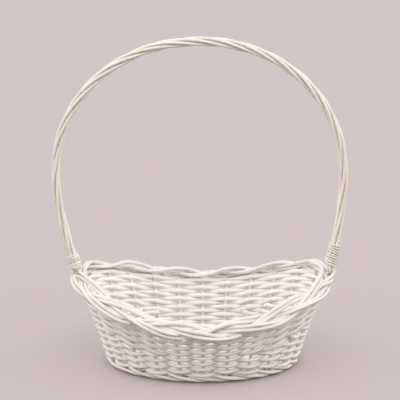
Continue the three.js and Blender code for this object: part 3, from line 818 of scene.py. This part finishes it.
def packing_passes(wall):
    """First and last place of each pass, in stakes from the middle of the end."""
    count = int(wedge_room(wall, 1) / ROW_PITCH)
    ways = [1 if number % 2 else -1 for number in range(1, count + 1)]
    turns = [turning_stake(wall, number) for number in range(1, count + 1)]
    turns.append(turns[-1])
    return [(-way * turns[number], way * turns[number + 1]) for number, way in enumerate(ways)]


def eased(value):
    """From 0 to 1 with a soft start and a soft end."""
    done = np.clip(value, 0, 1)
    return done * done * (3 - 2 * done)


# Where the rods above a turned pass come down on the rods below it, in stations past the turn
SETTLE_FROM = -0.35
SETTLE_OVER = 0.85


def packed(wall, station):
    """How many passes of packing lie under the upper rows, eased past each turn."""
    half = STAKES // 4
    place = (np.asarray(station, float) + half) % (2 * half) - half
    total = np.zeros_like(place)
    for ends in packing_passes(wall):
        beyond = np.maximum(min(ends) - place, place - max(ends))
        total += 1 - eased((beyond - SETTLE_FROM) / SETTLE_OVER)
    return total


def even_pitch(wall, station, passes):
    """Height from one rod to the next, when all of them share the wall evenly."""
    room = wall.rim_height(station) - wall.body.last_row_drop - wall.body.first_row_height
    return room / (ROWS - 1 + passes)


def ranked_height(wall, station, rank, upper):
    """Height of the rod of that rank from the bottom, which lies above the packing if it is an upper row."""
    passes = packed(wall, station)
    below = rank + (passes if upper else 0)
    return wall.body.first_row_height + even_pitch(wall, station, passes) * below


# Thickest rod of the rows, as a share of the weaver
THICKEST_WEAVER = 1.2


def fitted_radius(wall, rods, path, station):
    """Rods pack close: as thick as their share of the sloping wall, but no thicker than the willow."""
    pitch = even_pitch(wall, station, packed(wall, station))
    slope = wall.slope(station, path[:, 2])
    return np.minimum(pitch * np.sqrt(1 + slope**2) / 2, rods.weaver * THICKEST_WEAVER)


def weave_phase(wall, stations, height):
    """Stations as the weave counts them: it stands still past the bow and the stake beside it."""
    knots, values = [], []
    for index in range(-STAKES, 3 * STAKES):
        knots.append(float(index))
        values.append(float(index))
        if index % (STAKES // 2) == 0:
            knots.append(float(wall.beside(float(index), height, BESIDE_BOW)))
            values.append(float(index))
    return np.interp(stations, knots, values)


# Where a weaver crosses a stake, both are pressed a little into each other
STAKE_PRESSED = 0.9
WEAVER_PRESSED = 0.82


def weave_reach(rods):
    """How far the middle of a weaver stands off the middle of the wall where it passes a stake."""
    return rods.stake * STAKE_PRESSED + rods.weaver * WEAVER_PRESSED


# Height of a pressed row over its depth, points of a row for each stake, and its thickness at both ends
ROW_FLATNESS = 1.07
ROW_POINTS = 14
ROW_TAPER = (1.03, 0.95)
# The rows lie a little looser in the front wall, where light shows between them
FRONT_SLACK = 0.14


class BASKET_OT_rows(Operator):
    """Rows of the wall, each in front of one stake and behind the next"""

    bl_idname = "basket.rows"
    bl_label = "Rows"

    def execute(self, context):
        wall, rods = wall_of(context), context.scene.basket_rods
        for row in range(ROWS):
            rng = np.random.default_rng(ROW_SEED + row)
            seam = SEAMS[row % len(SEAMS)]
            upper = row >= LEVEL_ROWS
            height = float(ranked_height(wall, float(seam), row, upper))
            start = wall.beside(float(seam), height, SEAM_HALF_GAP)
            end = wall.beside(float(seam + STAKES), height, -SEAM_HALF_GAP)
            stations = np.linspace(start, end, STAKES * ROW_POINTS)
            phase = weave_phase(wall, stations, height)
            along = stations * STATION_LENGTH
            reach = weave_reach(rods) * (1 + waves(rng, along, *ROW_REACH_WOBBLE))
            heights = ranked_height(wall, stations, row, upper) + waves(rng, along, *ROW_HEIGHT_WOBBLE)
            path = wall.point(stations, heights, reach * np.cos(math.pi * (phase + row)))
            front = np.maximum(-np.sin(TURN * stations / STAKES), 0)
            taper = np.linspace(*ROW_TAPER, len(path)) * (1 - FRONT_SLACK * front)
            radii = fitted_radius(wall, rods, path, stations) * taper
            node = f"row_{row + 1:02d}"
            looks = {"outward": wall.normal(stations, heights), "flat": ROW_FLATNESS, "swell": 0.05}
            make_rod(node, "woven", "painted_weavers", "weavers", path, radii, rng, **looks)
        return {"FINISHED"}


# Points of a packing rod for each stake, and how far past a stake's side it turns, in radii of a weaver
PACKING_POINTS = 10
PACKING_TURN_REACH = 1.9


def packing_way(wall, rods, middle):
    """To and fro over an end of the basket, turning round a nearer stake on every pass."""
    reach = weave_reach(rods)
    passes = packing_passes(wall)
    points, radii = [], []
    for number, (first, last) in enumerate(passes):
        way = 1 if last > first else -1
        stations = middle + np.linspace(first, last, PACKING_POINTS * abs(last - first) + 1)
        heights = ranked_height(wall, stations, LEVEL_ROWS + number, False)
        phase = weave_phase(wall, stations, float(heights[0]))
        offset = reach * np.cos(math.pi * (phase + LEVEL_ROWS + number))
        stretch = wall.point(stations, heights, offset)
        points.append(stretch)
        radii.append(fitted_radius(wall, rods, stretch, stations))
        if number < len(passes) - 1:
            above = ranked_height(wall, stations[-1:], LEVEL_ROWS + number + 1, False)
            height = (heights[-1:] + above) / 2
            turn = wall.beside(stations[-1:], height, way * (rods.stake + PACKING_TURN_REACH * rods.weaver))
            points.append(wall.point(turn, height))
            radii.append(radii[-1][-1:])
    return np.concatenate(points), np.concatenate(radii)


class BASKET_OT_packing(Operator):
    """Packing rods that raise the two ends of the wall"""

    bl_idname = "basket.packing"
    bl_label = "Packing"

    def execute(self, context):
        wall, rods = wall_of(context), context.scene.basket_rods
        for side, middle in (("right", 0), ("left", STAKES // 2)):
            rng = np.random.default_rng(PACKING_SEED + middle)
            points, radii = packing_way(wall, rods, middle)
            path = wobbled(resampled(curve_through(points, samples=5), PACKING_STEP), rng, *PACKING_WOBBLE)
            radii = np.interp(walked(path), walked(points), radii)
            make_rod(f"packing_{side}", "woven", "painted_weavers", "weavers", path, radii, rng)
        return {"FINISHED"}


# Places of a wale rod at the stakes, and half way to the next stake: reach from the middle of the bend
# and angle below level. A rod passes inside one stake and then outside two, sinking as it goes.
WALE_INSIDE_REACH = 0.0006
WALE_STAKE_ANGLES = tuple(math.radians(degrees) for degrees in (60, 29, 67))
WALE_HALFWAY_ANGLES = tuple(math.radians(degrees) for degrees in (10, 48, 80))
WALE_HALFWAY_SHARES = (0.66, 1.0, 0.66)
WALE_TAPER = (1.05, 0.95)


class BASKET_OT_foot_wale(Operator):
    """Three thin rods round the bends of the stakes, each inside one stake and outside the next two"""

    bl_idname = "basket.foot_wale"
    bl_label = "Foot wale"

    def execute(self, context):
        wall, rods = wall_of(context), context.scene.basket_rods
        outside = wall.body.elbow_radius + FRAME_STAKE_RADIUS + rods.wale
        for rod in range(WALE_RODS):
            rng = np.random.default_rng(WALE_SEED + rod)
            seam = SEAMS[0] + WALE_RODS - rod
            points = []
            for index in range(seam, seam + STAKES + 1):
                phase = (index + rod) % WALE_RODS
                here = stake_station(wall, index, FOOT_HEIGHT)
                beyond = stake_station(wall, index + 1, FOOT_HEIGHT)
                reach = outside if phase else WALE_INSIDE_REACH
                points.append(wall.elbow(here, reach, WALE_STAKE_ANGLES[phase]))
                if index < seam + STAKES:
                    halfway = outside * WALE_HALFWAY_SHARES[phase]
                    points.append(wall.elbow((here + beyond) / 2, halfway, WALE_HALFWAY_ANGLES[phase]))
            path = wobbled(resampled(curve_through(np.array(points)), ROD_STEP), rng, *WALE_WOBBLE)
            radii = rods.wale * np.linspace(*WALE_TAPER, len(path))
            node = f"foot_wale_{rod + 1}"
            make_rod(node, "willow", "painted_wale", "foot_wale", path, radii, rng, swell=0.04)
        return {"FINISHED"}


# Rings of the base: from one ring to the next, and the gap between the rods and the floor
MAT_PITCH = 0.00355
MAT_GAP = 0.0001
# In radii of a rod: how far the two rods of a ring swing apart in plan, and half the width of the least ring
MAT_SWING = 0.5
MAT_LEAST_RING = 1.2
# Thickness at both ends of a rod, and where a ring begins and the next ones shift to, in steps round it
MAT_TAPER = (1.0, 0.93)
MAT_SEAM = 40
MAT_SEAM_SHIFT = 13
# Power of the curve at the ends of the inmost ring, below 1 for its long sides
INNER_RING_POWER = 0.35


def mat_ring(half_width):
    """An oval ring of the base: long sided at the middle, and the shape of the base at its edge."""
    spread = MAT_HALF_LENGTH - MAT_HALF_WIDTH
    power = INNER_RING_POWER + (1 - INNER_RING_POWER) * half_width / MAT_HALF_WIDTH
    turned = np.linspace(0, TURN, Wall.walk_steps)
    cosine = np.cos(turned)
    x = half_width * cosine + spread * np.sign(cosine) * np.abs(cosine) ** power
    return resampled(np.stack([x, half_width * np.sin(turned), 0 * x], axis=1), RING_STEP)


def lines_in_base(wall):
    """The sticks and the stakes' feet as lines in plan, each with half its thickness."""
    lines = []
    for name in sorted(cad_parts):
        if name.startswith("base_") and "stick" in name:
            low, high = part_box(name)
            middle = (low + high) / 2
            along_x = high.x - low.x > high.y - low.y
            start = np.array((low.x, middle.y) if along_x else (middle.x, low.y))
            end = np.array((high.x, middle.y) if along_x else (middle.x, high.y))
            half = (high.y - low.y if along_x else high.x - low.x) / 2
            lines.append((start, end, half))
    for index in range(STAKES):
        foot = foot_way(wall, index)
        lines.append((foot[0, :2], foot[FOOT_POINTS, :2], FRAME_STAKE_RADIUS))
    return lines


# A ring runs beside a stick, and not over it, from this cosine of the angle between them
ALONGSIDE = 0.75
# Sticks that a ring meets within this length count as one
JOINED_STICKS = 0.004


def crossed(ring, line, reach):
    """Which points of a ring lie over a stick that the ring crosses and doesn't run beside."""
    start, end, half = line
    way = (end - start) / np.linalg.norm(end - start)
    heading = unit(np.gradient(ring[:, :2], axis=0))
    part = np.clip((ring[:, :2] - start) @ way, 0, np.linalg.norm(end - start))
    away = np.linalg.norm(ring[:, :2] - start - part[:, None] * way, axis=1)
    return (away < half + reach) & (np.abs(heading @ way) < ALONGSIDE)


def stick_count(ring, lines, reach):
    """For each point of a ring, the number of sticks passed so far, level over each stick."""
    along = walked(ring)
    over = np.zeros(len(ring), bool)
    for line in lines:
        over |= crossed(ring, line, reach)
    changes = np.diff(np.concatenate([[0], over.astype(int), [0]]))
    starts, ends = np.flatnonzero(changes == 1), np.flatnonzero(changes == -1) - 1
    places, counts, number = [], [], -1
    for start, end in zip(starts, ends):
        if not places or along[start] - places[-1] > JOINED_STICKS:
            number += 1
            places.append(along[start])
            counts.append(number)
        places.append(along[end])
        counts.append(number)
    return np.interp(along, places, counts) if places else along / along[-1]


class BASKET_OT_base(Operator):
    """Woven mat of the base, two rods at a time twisted round every stick, and the finish of the sticks"""

    bl_idname = "basket.base"
    bl_label = "Base"

    def execute(self, context):
        wall, rods = wall_of(context), context.scene.basket_rods
        lines = lines_in_base(wall)
        lift = FOOT_HEIGHT - rods.mat - MAT_GAP
        swing = rods.mat * MAT_SWING
        skin = Skin()
        half_width = MAT_HALF_WIDTH - rods.mat - swing
        ring_number = 0
        while half_width > MAT_LEAST_RING * rods.mat:
            ring = np.roll(mat_ring(half_width)[:-1], MAT_SEAM + MAT_SEAM_SHIFT * ring_number, axis=0)
            half_turns = math.pi * (stick_count(ring, lines, rods.mat) + ring_number)
            outward = unit(ring / (MAT_HALF_LENGTH**2, MAT_HALF_WIDTH**2, 1))
            for member, sign in enumerate((1, -1)):
                rng = np.random.default_rng(MAT_SEED + 2 * ring_number + member)
                path = ring + UP * FOOT_HEIGHT + sign * lift * np.cos(half_turns)[:, None] * UP
                path = path + sign * swing * np.sin(half_turns)[:, None] * outward
                path = resampled(path, LONG_ROD_STEP)
                skin.add_rod(path, rods.mat * np.linspace(*MAT_TAPER, len(path)), rng, sides=8, swell=0.02)
            half_width -= MAT_PITCH
            ring_number += 1
        skin.make("woven_base", finish_named("painted_base"), "base_weave", "base_weave")
        for name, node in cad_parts.items():
            for kind in ("cross", "long"):
                if name.startswith(f"base_{kind}_stick"):
                    node.data.materials.clear()
                    node.data.materials.append(finish_named(f"{kind}_sticks"))
        return {"FINISHED"}


# The bow in the wall, in shares of the height of the rim, the least height of its end, and its way out
# between the rods of the border, in shares of the border's half width and half depth
BOW_WALL_SHARES = (0.1, 0.4, 0.7, 0.88)
BOW_END_HEIGHT = 0.011
BOW_WINDOW_SHARES = ((0.0, -1.6), (0.05, 0.2), (0.3, 1.6))

# The hoop widens by a power curve and closes over the top by a fuller arch than an ellipse
HOOP_LOWER_STEPS = 4
HOOP_LOWER_CURVE = 1.6
HOOP_UPPER_STEPS = 7
HOOP_FULLNESS = 2.07

# The hoop has its full lean from one part in this many of its height upward
HOOP_LEAN_PARTS = 3


def bow_curve(context):
    """The middle of the handle from its right foot over the top to its left foot, in even steps."""
    wall, hoop = wall_of(context), context.scene.basket_handle
    body, border = context.scene.basket_body, context.scene.basket_border
    foot_height = body.end_rim_height + hoop.foot_rise
    foot_x = body.base_half_length + body.rim_flare + hoop.foot_out
    heights = np.maximum(np.array(BOW_WALL_SHARES) * body.end_rim_height, BOW_END_HEIGHT)
    points = list(wall.point(np.zeros(len(heights)), heights))
    for across, through in BOW_WINDOW_SHARES:
        points.append(wall.border(0.0, across * border.half_width, through * border.half_depth))
    for height in np.linspace(foot_height, hoop.widest_height, HOOP_LOWER_STEPS, endpoint=False):
        part = (hoop.widest_height - height) / (hoop.widest_height - foot_height)
        x = hoop.half_width - (hoop.half_width - foot_x) * part**HOOP_LOWER_CURVE
        points.append(np.array([x, 0, height]))
    for turned in np.linspace(0, math.pi / 2, HOOP_UPPER_STEPS, endpoint=False):
        x = hoop.half_width * math.cos(turned) ** (2 / HOOP_FULLNESS)
        rise = (hoop.top_height - hoop.widest_height) * math.sin(turned) ** (2 / HOOP_FULLNESS)
        points.append(np.array([x, 0, hoop.widest_height + rise]))
    right = np.array(points)
    top = np.array([[0, 0, hoop.top_height]])
    whole = np.concatenate([right, top, right[::-1] * (-1, 1, 1)])
    risen = np.clip((whole[:, 2] - foot_height) / (hoop.top_height - foot_height), 0, None)
    whole[:, 0] -= hoop.lean * np.minimum(1, HOOP_LEAN_PARTS * risen)
    return resampled(curve_through(whole, samples=40), BOW_STEP)


def into_hoop(curve):
    """At each step of the bow, the direction into the hoop."""
    tangents = unit(np.gradient(curve, axis=0))
    return unit(np.cross(tangents, ACROSS))


def at_steps(curve, steps):
    """The curve's values at places between its points, counted in points."""
    return np.stack([np.interp(steps, np.arange(len(curve)), curve[:, axis]) for axis in range(3)], axis=1)


def round_bow(curve, inward, turned, ring):
    """Points on a ring round the bow, by the angle from the direction into the hoop."""
    out = inward * np.cos(turned)[:, None] + ACROSS * np.sin(turned)[:, None]
    return curve + out * np.asarray(ring)[..., None], out


class BASKET_OT_bow(Operator):
    """Bow in the middle of the handle, from one end pushed into the wall to the other"""

    bl_idname = "basket.bow"
    bl_label = "Bow"

    def execute(self, context):
        rods = context.scene.basket_rods
        path = resampled(bow_curve(context), BOW_ROD_STEP)
        rng = np.random.default_rng(BOW_SEED)
        looks = {"sides": 8, "swell": 0.01}
        make_rod("handle_bow", "willow", "painted_handle", "handle_rods", path, rods.bow, rng, **looks)
        return {"FINISHED"}


def strand_span(context, curve):
    """First and last step of the bow that the strands cover."""
    body, hoop = context.scene.basket_body, context.scene.basket_handle
    covered = np.flatnonzero(curve[:, 2] > body.end_rim_height + hoop.strands_rise)
    return covered[0], covered[-1]


# The outer strands end outside the border and a little above its middle. A strand is an outer one from
# this share of the way out.
STRAND_FOOT_OUT = 0.0092
STRAND_FOOT_RISE = 0.0002
OUTER_STRAND_SHARE = 0.5

# Gap between the strands and the bow, steps of the bow from one point of a strand to the next, and the
# thin and the thick end of a strand
STRAND_GAP = 0.0001
STRAND_STRIDE = 4
STRAND_ENDS = (0.94, 1.03)


def strand_foot(context, side, y):
    """End of an outer strand, just above the outer rods of the border at the right (1) or the left (-1)."""
    body = context.scene.basket_body
    edge = body.base_half_length + body.rim_flare + STRAND_FOOT_OUT
    return np.array([[side * edge, y, body.end_rim_height + STRAND_FOOT_RISE]])


class BASKET_OT_strands(Operator):
    """Strands twisted round the bow"""

    bl_idname = "basket.strands"
    bl_label = "Strands"

    def execute(self, context):
        rods, hoop = context.scene.basket_rods, context.scene.basket_handle
        whole = bow_curve(context)
        first, last = strand_span(context, whole)
        curve = whole[first:last + 1]
        inward = into_hoop(whole)[first:last + 1]
        part = np.linspace(0, 1, len(curve))
        along = part * walked(curve)[-1]
        twisted = hoop.twist * (TURN * part - hoop.twist_crowding * np.sin(TURN * part))
        for index in range(STRANDS):
            rng = np.random.default_rng(STRAND_SEED + index)
            turned = TURN * index / STRANDS - twisted
            turned = turned + waves(rng, along, *TWIST_WOBBLE) * np.sin(math.pi * part)
            ring = rods.bow + rods.strand + STRAND_GAP + waves(rng, along, *BUNDLE_WOBBLE)
            points, out = round_bow(curve, inward, turned, ring)
            pieces = [points[::STRAND_STRIDE]]
            if out[0, 0] > OUTER_STRAND_SHARE:
                pieces.insert(0, strand_foot(context, 1, points[0, 1]))
            if out[-1, 0] < -OUTER_STRAND_SHARE:
                pieces.append(strand_foot(context, -1, points[-1, 1]))
            path = resampled(curve_through(np.concatenate(pieces), samples=5), LONG_ROD_STEP)
            ends = STRAND_ENDS[::-1] if index % 2 else STRAND_ENDS
            radii = rods.strand * np.linspace(*ends, len(path))
            node = f"handle_strand_{index + 1}"
            looks = {"sides": 12, "swell": 0.02}
            make_rod(node, "willow", "painted_handle", "handle_rods", path, radii, rng, **looks)
        return {"FINISHED"}


# Points of the cane to a turn, its gap to the strands, and how much wider the first turns are than the last
CANE_POINTS = 28
CANE_GAP = 0.0002
CANE_SPREAD = 0.0005

# Each turn slants a little round the bundle, and the slant drifts from turn to turn
CANE_SLANT = 0.0009
CANE_SLANT_DRIFT = 0.0005
CANE_DRIFT_RADIANS = 5
CANE_SLANT_FROM = 0.6

# Width of the cane in each binding, as a share of the widest
RIGHT_CANE_SHARE = 0.82
LEFT_CANE_SHARE = 0.7

# The end of a binding climbs on over a last part of a turn and tucks in between the strands
TUCK_TURNS = 0.6
TUCK_CLIMB = 0.0045
TUCK_DEPTH = 0.0022


class BASKET_OT_bindings(Operator):
    """Cane wound round the strands at the two feet of the handle"""

    bl_idname = "basket.bindings"
    bl_label = "Bindings"

    def execute(self, context):
        rods, hoop = context.scene.basket_rods, context.scene.basket_handle
        whole = bow_curve(context)
        inward = into_hoop(whole)
        first, last = strand_span(context, whole)
        sides = (
            ("right", first, 1, hoop.right_binding_rise, hoop.right_binding, RIGHT_TURNS, RIGHT_CANE_SHARE),
            ("left", last, -1, hoop.left_binding_rise, hoop.left_binding, LEFT_TURNS, LEFT_CANE_SHARE),
        )
        for side, start, direction, rise, covered, turns, width_share in sides:
            rng = np.random.default_rng(BINDING_SEED + turns)
            tuck = TUCK_TURNS / turns
            part = np.linspace(0, 1 + tuck, int(turns * (1 + tuck) * CANE_POINTS) + 1)
            wound = np.minimum(part, 1)
            turned = TURN * turns * part
            along = turned * RADIAN_LENGTH
            tucked = np.clip((part - 1) / tuck, 0, 1)
            slant = CANE_SLANT + CANE_SLANT_DRIFT * np.sin(turned / CANE_DRIFT_RADIANS)
            climb = rise + covered * wound + TUCK_CLIMB * tucked + slant * np.cos(turned + CANE_SLANT_FROM)
            climb = climb + waves(rng, along, *CANE_CLIMB_WOBBLE)
            position = start + direction * climb / BOW_STEP
            against_strands = rods.bow + 2 * rods.strand + rods.cane_half_thickness
            ring = against_strands + CANE_GAP + CANE_SPREAD * (1 - wound)
            ring = ring + waves(rng, along, *CANE_RING_WOBBLE) - TUCK_DEPTH * tucked**2
            path, out = round_bow(at_steps(whole, position), at_steps(inward, position), turned, ring)
            flat = rods.cane_half_width * width_share / rods.cane_half_thickness
            looks = {"sides": 10, "outward": out, "flat": flat, "swell": 0.02}
            node = f"handle_binding_{side}"
            make_rod(node, "cane", "binding_cane", "cane", path, rods.cane_half_thickness, rng, **looks)
        return {"FINISHED"}


# Width of the camera's sensor in millimetres, and in metres how far it sees and how far the floor reaches
SENSOR_WIDTH = 36
VIEW_END = 50
FLOOR_REACH = 14.0

# The floor's own glow fades where the basket stands over it, within this reach and by these open shares
CONTACT_REACH = 0.03
CONTACT_SHARES = (0.35, 0.95)

# Each lamp's angles in degrees: round from the camera's side, above level, and how wide its light comes
LAMPS = (
    ("top_lamp", "top_lamp", 0, 54, 60),
    ("left_lamp", "side_lamp", -90, 22, 70),
    ("right_lamp", "side_lamp", 90, 22, 70),
)
LAMP_COLOUR = (1.0, 0.995, 0.985)
SKY_COLOUR = (0.985, 0.985, 1.0)


class BASKET_OT_stage(Operator):
    """Camera at the height of the picture, pale floor and soft light from above"""

    bl_idname = "basket.stage"
    bl_label = "Stage"

    def execute(self, context):
        stage = context.scene.basket_stage
        self.make_camera(context.scene, stage)
        self.make_floor(context.scene, stage)
        self.make_sky(context.scene, stage)
        for name, strength, *degrees in LAMPS:
            self.make_lamp(context.scene, name, getattr(stage, strength), *map(math.radians, degrees))
        return {"FINISHED"}

    def make_camera(self, scene, stage):
        camera = bpy.data.objects.new("camera", bpy.data.cameras.new("camera"))
        scene.collection.objects.link(camera)
        camera.data.lens = stage.lens
        camera.data.sensor_width = SENSOR_WIDTH
        camera.data.clip_end = VIEW_END
        back = Vector((0, -math.cos(stage.elevation), math.sin(stage.elevation)))
        camera.location = Vector((stage.target_side, 0, stage.target_height)) + back * stage.distance
        camera.rotation_mode = "QUATERNION"
        camera.rotation_quaternion = (-back).to_track_quat("-Z", "Y")
        scene.camera = camera

    def make_floor(self, scene, stage):
        """A floor out to the horizon, which glows a little for the camera, but not in the contact shadow."""
        corners = [(FLOOR_REACH * x, FLOOR_REACH * y, 0) for x, y in ((-1, -1), (1, -1), (1, 1), (-1, 1))]
        mesh = bpy.data.meshes.new("floor")
        mesh.from_pydata(corners, [], [(0, 1, 2, 3)])
        floor = bpy.data.objects.new("floor", mesh)
        scene.collection.objects.link(floor)
        finish = Finish("studio_floor")
        seen = finish.add("ShaderNodeLightPath").outputs["Is Camera Ray"]
        finish.feed(finish.shader.inputs["Base Color"], finish.mixed(seen, stage.bounce, stage.floor))
        finish.shader.inputs["Roughness"].default_value = 0.8
        finish.shader.inputs["Specular IOR Level"].default_value = 0.1
        glow = finish.add("ShaderNodeEmission", Color=(*stage.floor, 1))
        mixed = finish.add("ShaderNodeMixShader")
        open_share = finish.add("ShaderNodeAmbientOcclusion", Distance=CONTACT_REACH).outputs["AO"]
        glowing = finish.spread(open_share, *CONTACT_SHARES, most=stage.floor_glow)
        lit = finish.add("ShaderNodeMath", {"operation": "MULTIPLY"})
        finish.feed(lit.inputs[0], seen)
        finish.feed(lit.inputs[1], glowing)
        finish.feed(mixed.inputs[0], lit.outputs[0])
        finish.feed(mixed.inputs[1], finish.shader.outputs["BSDF"])
        finish.feed(mixed.inputs[2], glow.outputs["Emission"])
        finish.feed(finish.tree.nodes["Material Output"].inputs["Surface"], mixed.outputs[0])
        mesh.materials.append(finish.material)

    def make_sky(self, scene, stage):
        """Even light from all round, which the camera sees in the colour of the floor."""
        scene.view_settings.view_transform = "Standard"
        world = bpy.data.worlds.new("studio")
        world.use_nodes = True
        tree = world.node_tree
        tree.nodes["Background"].inputs["Color"].default_value = (*SKY_COLOUR, 1)
        tree.nodes["Background"].inputs["Strength"].default_value = stage.sky
        seen = tree.nodes.new("ShaderNodeBackground")
        seen.inputs["Color"].default_value = (*stage.floor, 1)
        path = tree.nodes.new("ShaderNodeLightPath")
        either = tree.nodes.new("ShaderNodeMixShader")
        tree.links.new(path.outputs["Is Camera Ray"], either.inputs[0])
        tree.links.new(tree.nodes["Background"].outputs[0], either.inputs[1])
        tree.links.new(seen.outputs[0], either.inputs[2])
        tree.links.new(either.outputs[0], tree.nodes["World Output"].inputs["Surface"])
        scene.world = world

    def make_lamp(self, scene, name, strength, around, height, size):
        """A soft lamp far away, by its angle round from the camera's side and its height above level."""
        lamp = bpy.data.lights.new(name, "SUN")
        lamp.energy = strength
        lamp.angle = size
        lamp.color = LAMP_COLOUR
        piece = bpy.data.objects.new(name, lamp)
        level = math.cos(height)
        shine = Vector((-math.sin(around) * level, math.cos(around) * level, -math.sin(height)))
        piece.rotation_mode = "QUATERNION"
        piece.rotation_quaternion = shine.to_track_quat("-Z", "Y")
        scene.collection.objects.link(piece)


OPERATORS = (
    BASKET_OT_stage,
    BASKET_OT_base,
    BASKET_OT_foot_wale,
    BASKET_OT_stakes,
    BASKET_OT_rows,
    BASKET_OT_packing,
    BASKET_OT_bow,
    BASKET_OT_strands,
    BASKET_OT_bindings,
)
GROUPS = {
    "basket_body": BasketBody,
    "basket_rods": BasketRods,
    "basket_border": BasketBorder,
    "basket_handle": BasketHandle,
    "basket_paint": BasketPaint,
    "basket_stage": BasketStage,
}


class BASKET_PT_sidebar(Panel):
    """Sizes, colours and pieces of the basket"""

    bl_idname = "BASKET_PT_sidebar"
    bl_label = "Flower Girl Basket"
    bl_space_type = "VIEW_3D"
    bl_region_type = "UI"
    bl_category = "Basket"

    def draw(self, context):
        for name, group in GROUPS.items():
            box = self.layout.box()
            for key in group.__annotations__:
                box.prop(getattr(context.scene, name), key)
        for operator in OPERATORS:
            self.layout.operator(operator.bl_idname)


def register():
    for group in GROUPS.values():
        bpy.utils.register_class(group)
    for name, group in GROUPS.items():
        setattr(bpy.types.Scene, name, PointerProperty(type=group))
    for kind in (*OPERATORS, BASKET_PT_sidebar):
        bpy.utils.register_class(kind)


def unregister():
    for kind in reversed((*OPERATORS, BASKET_PT_sidebar)):
        bpy.utils.unregister_class(kind)
    for name, group in reversed(GROUPS.items()):
        delattr(bpy.types.Scene, name)
        bpy.utils.unregister_class(group)


def main():
    register()
    bpy.ops.basket.stage()
    bpy.ops.basket.base()
    bpy.ops.basket.foot_wale()
    bpy.ops.basket.stakes()
    bpy.ops.basket.rows()
    bpy.ops.basket.packing()
    bpy.ops.basket.bow()
    bpy.ops.basket.strands()
    bpy.ops.basket.bindings()


if __name__ == "__main__":
    main()
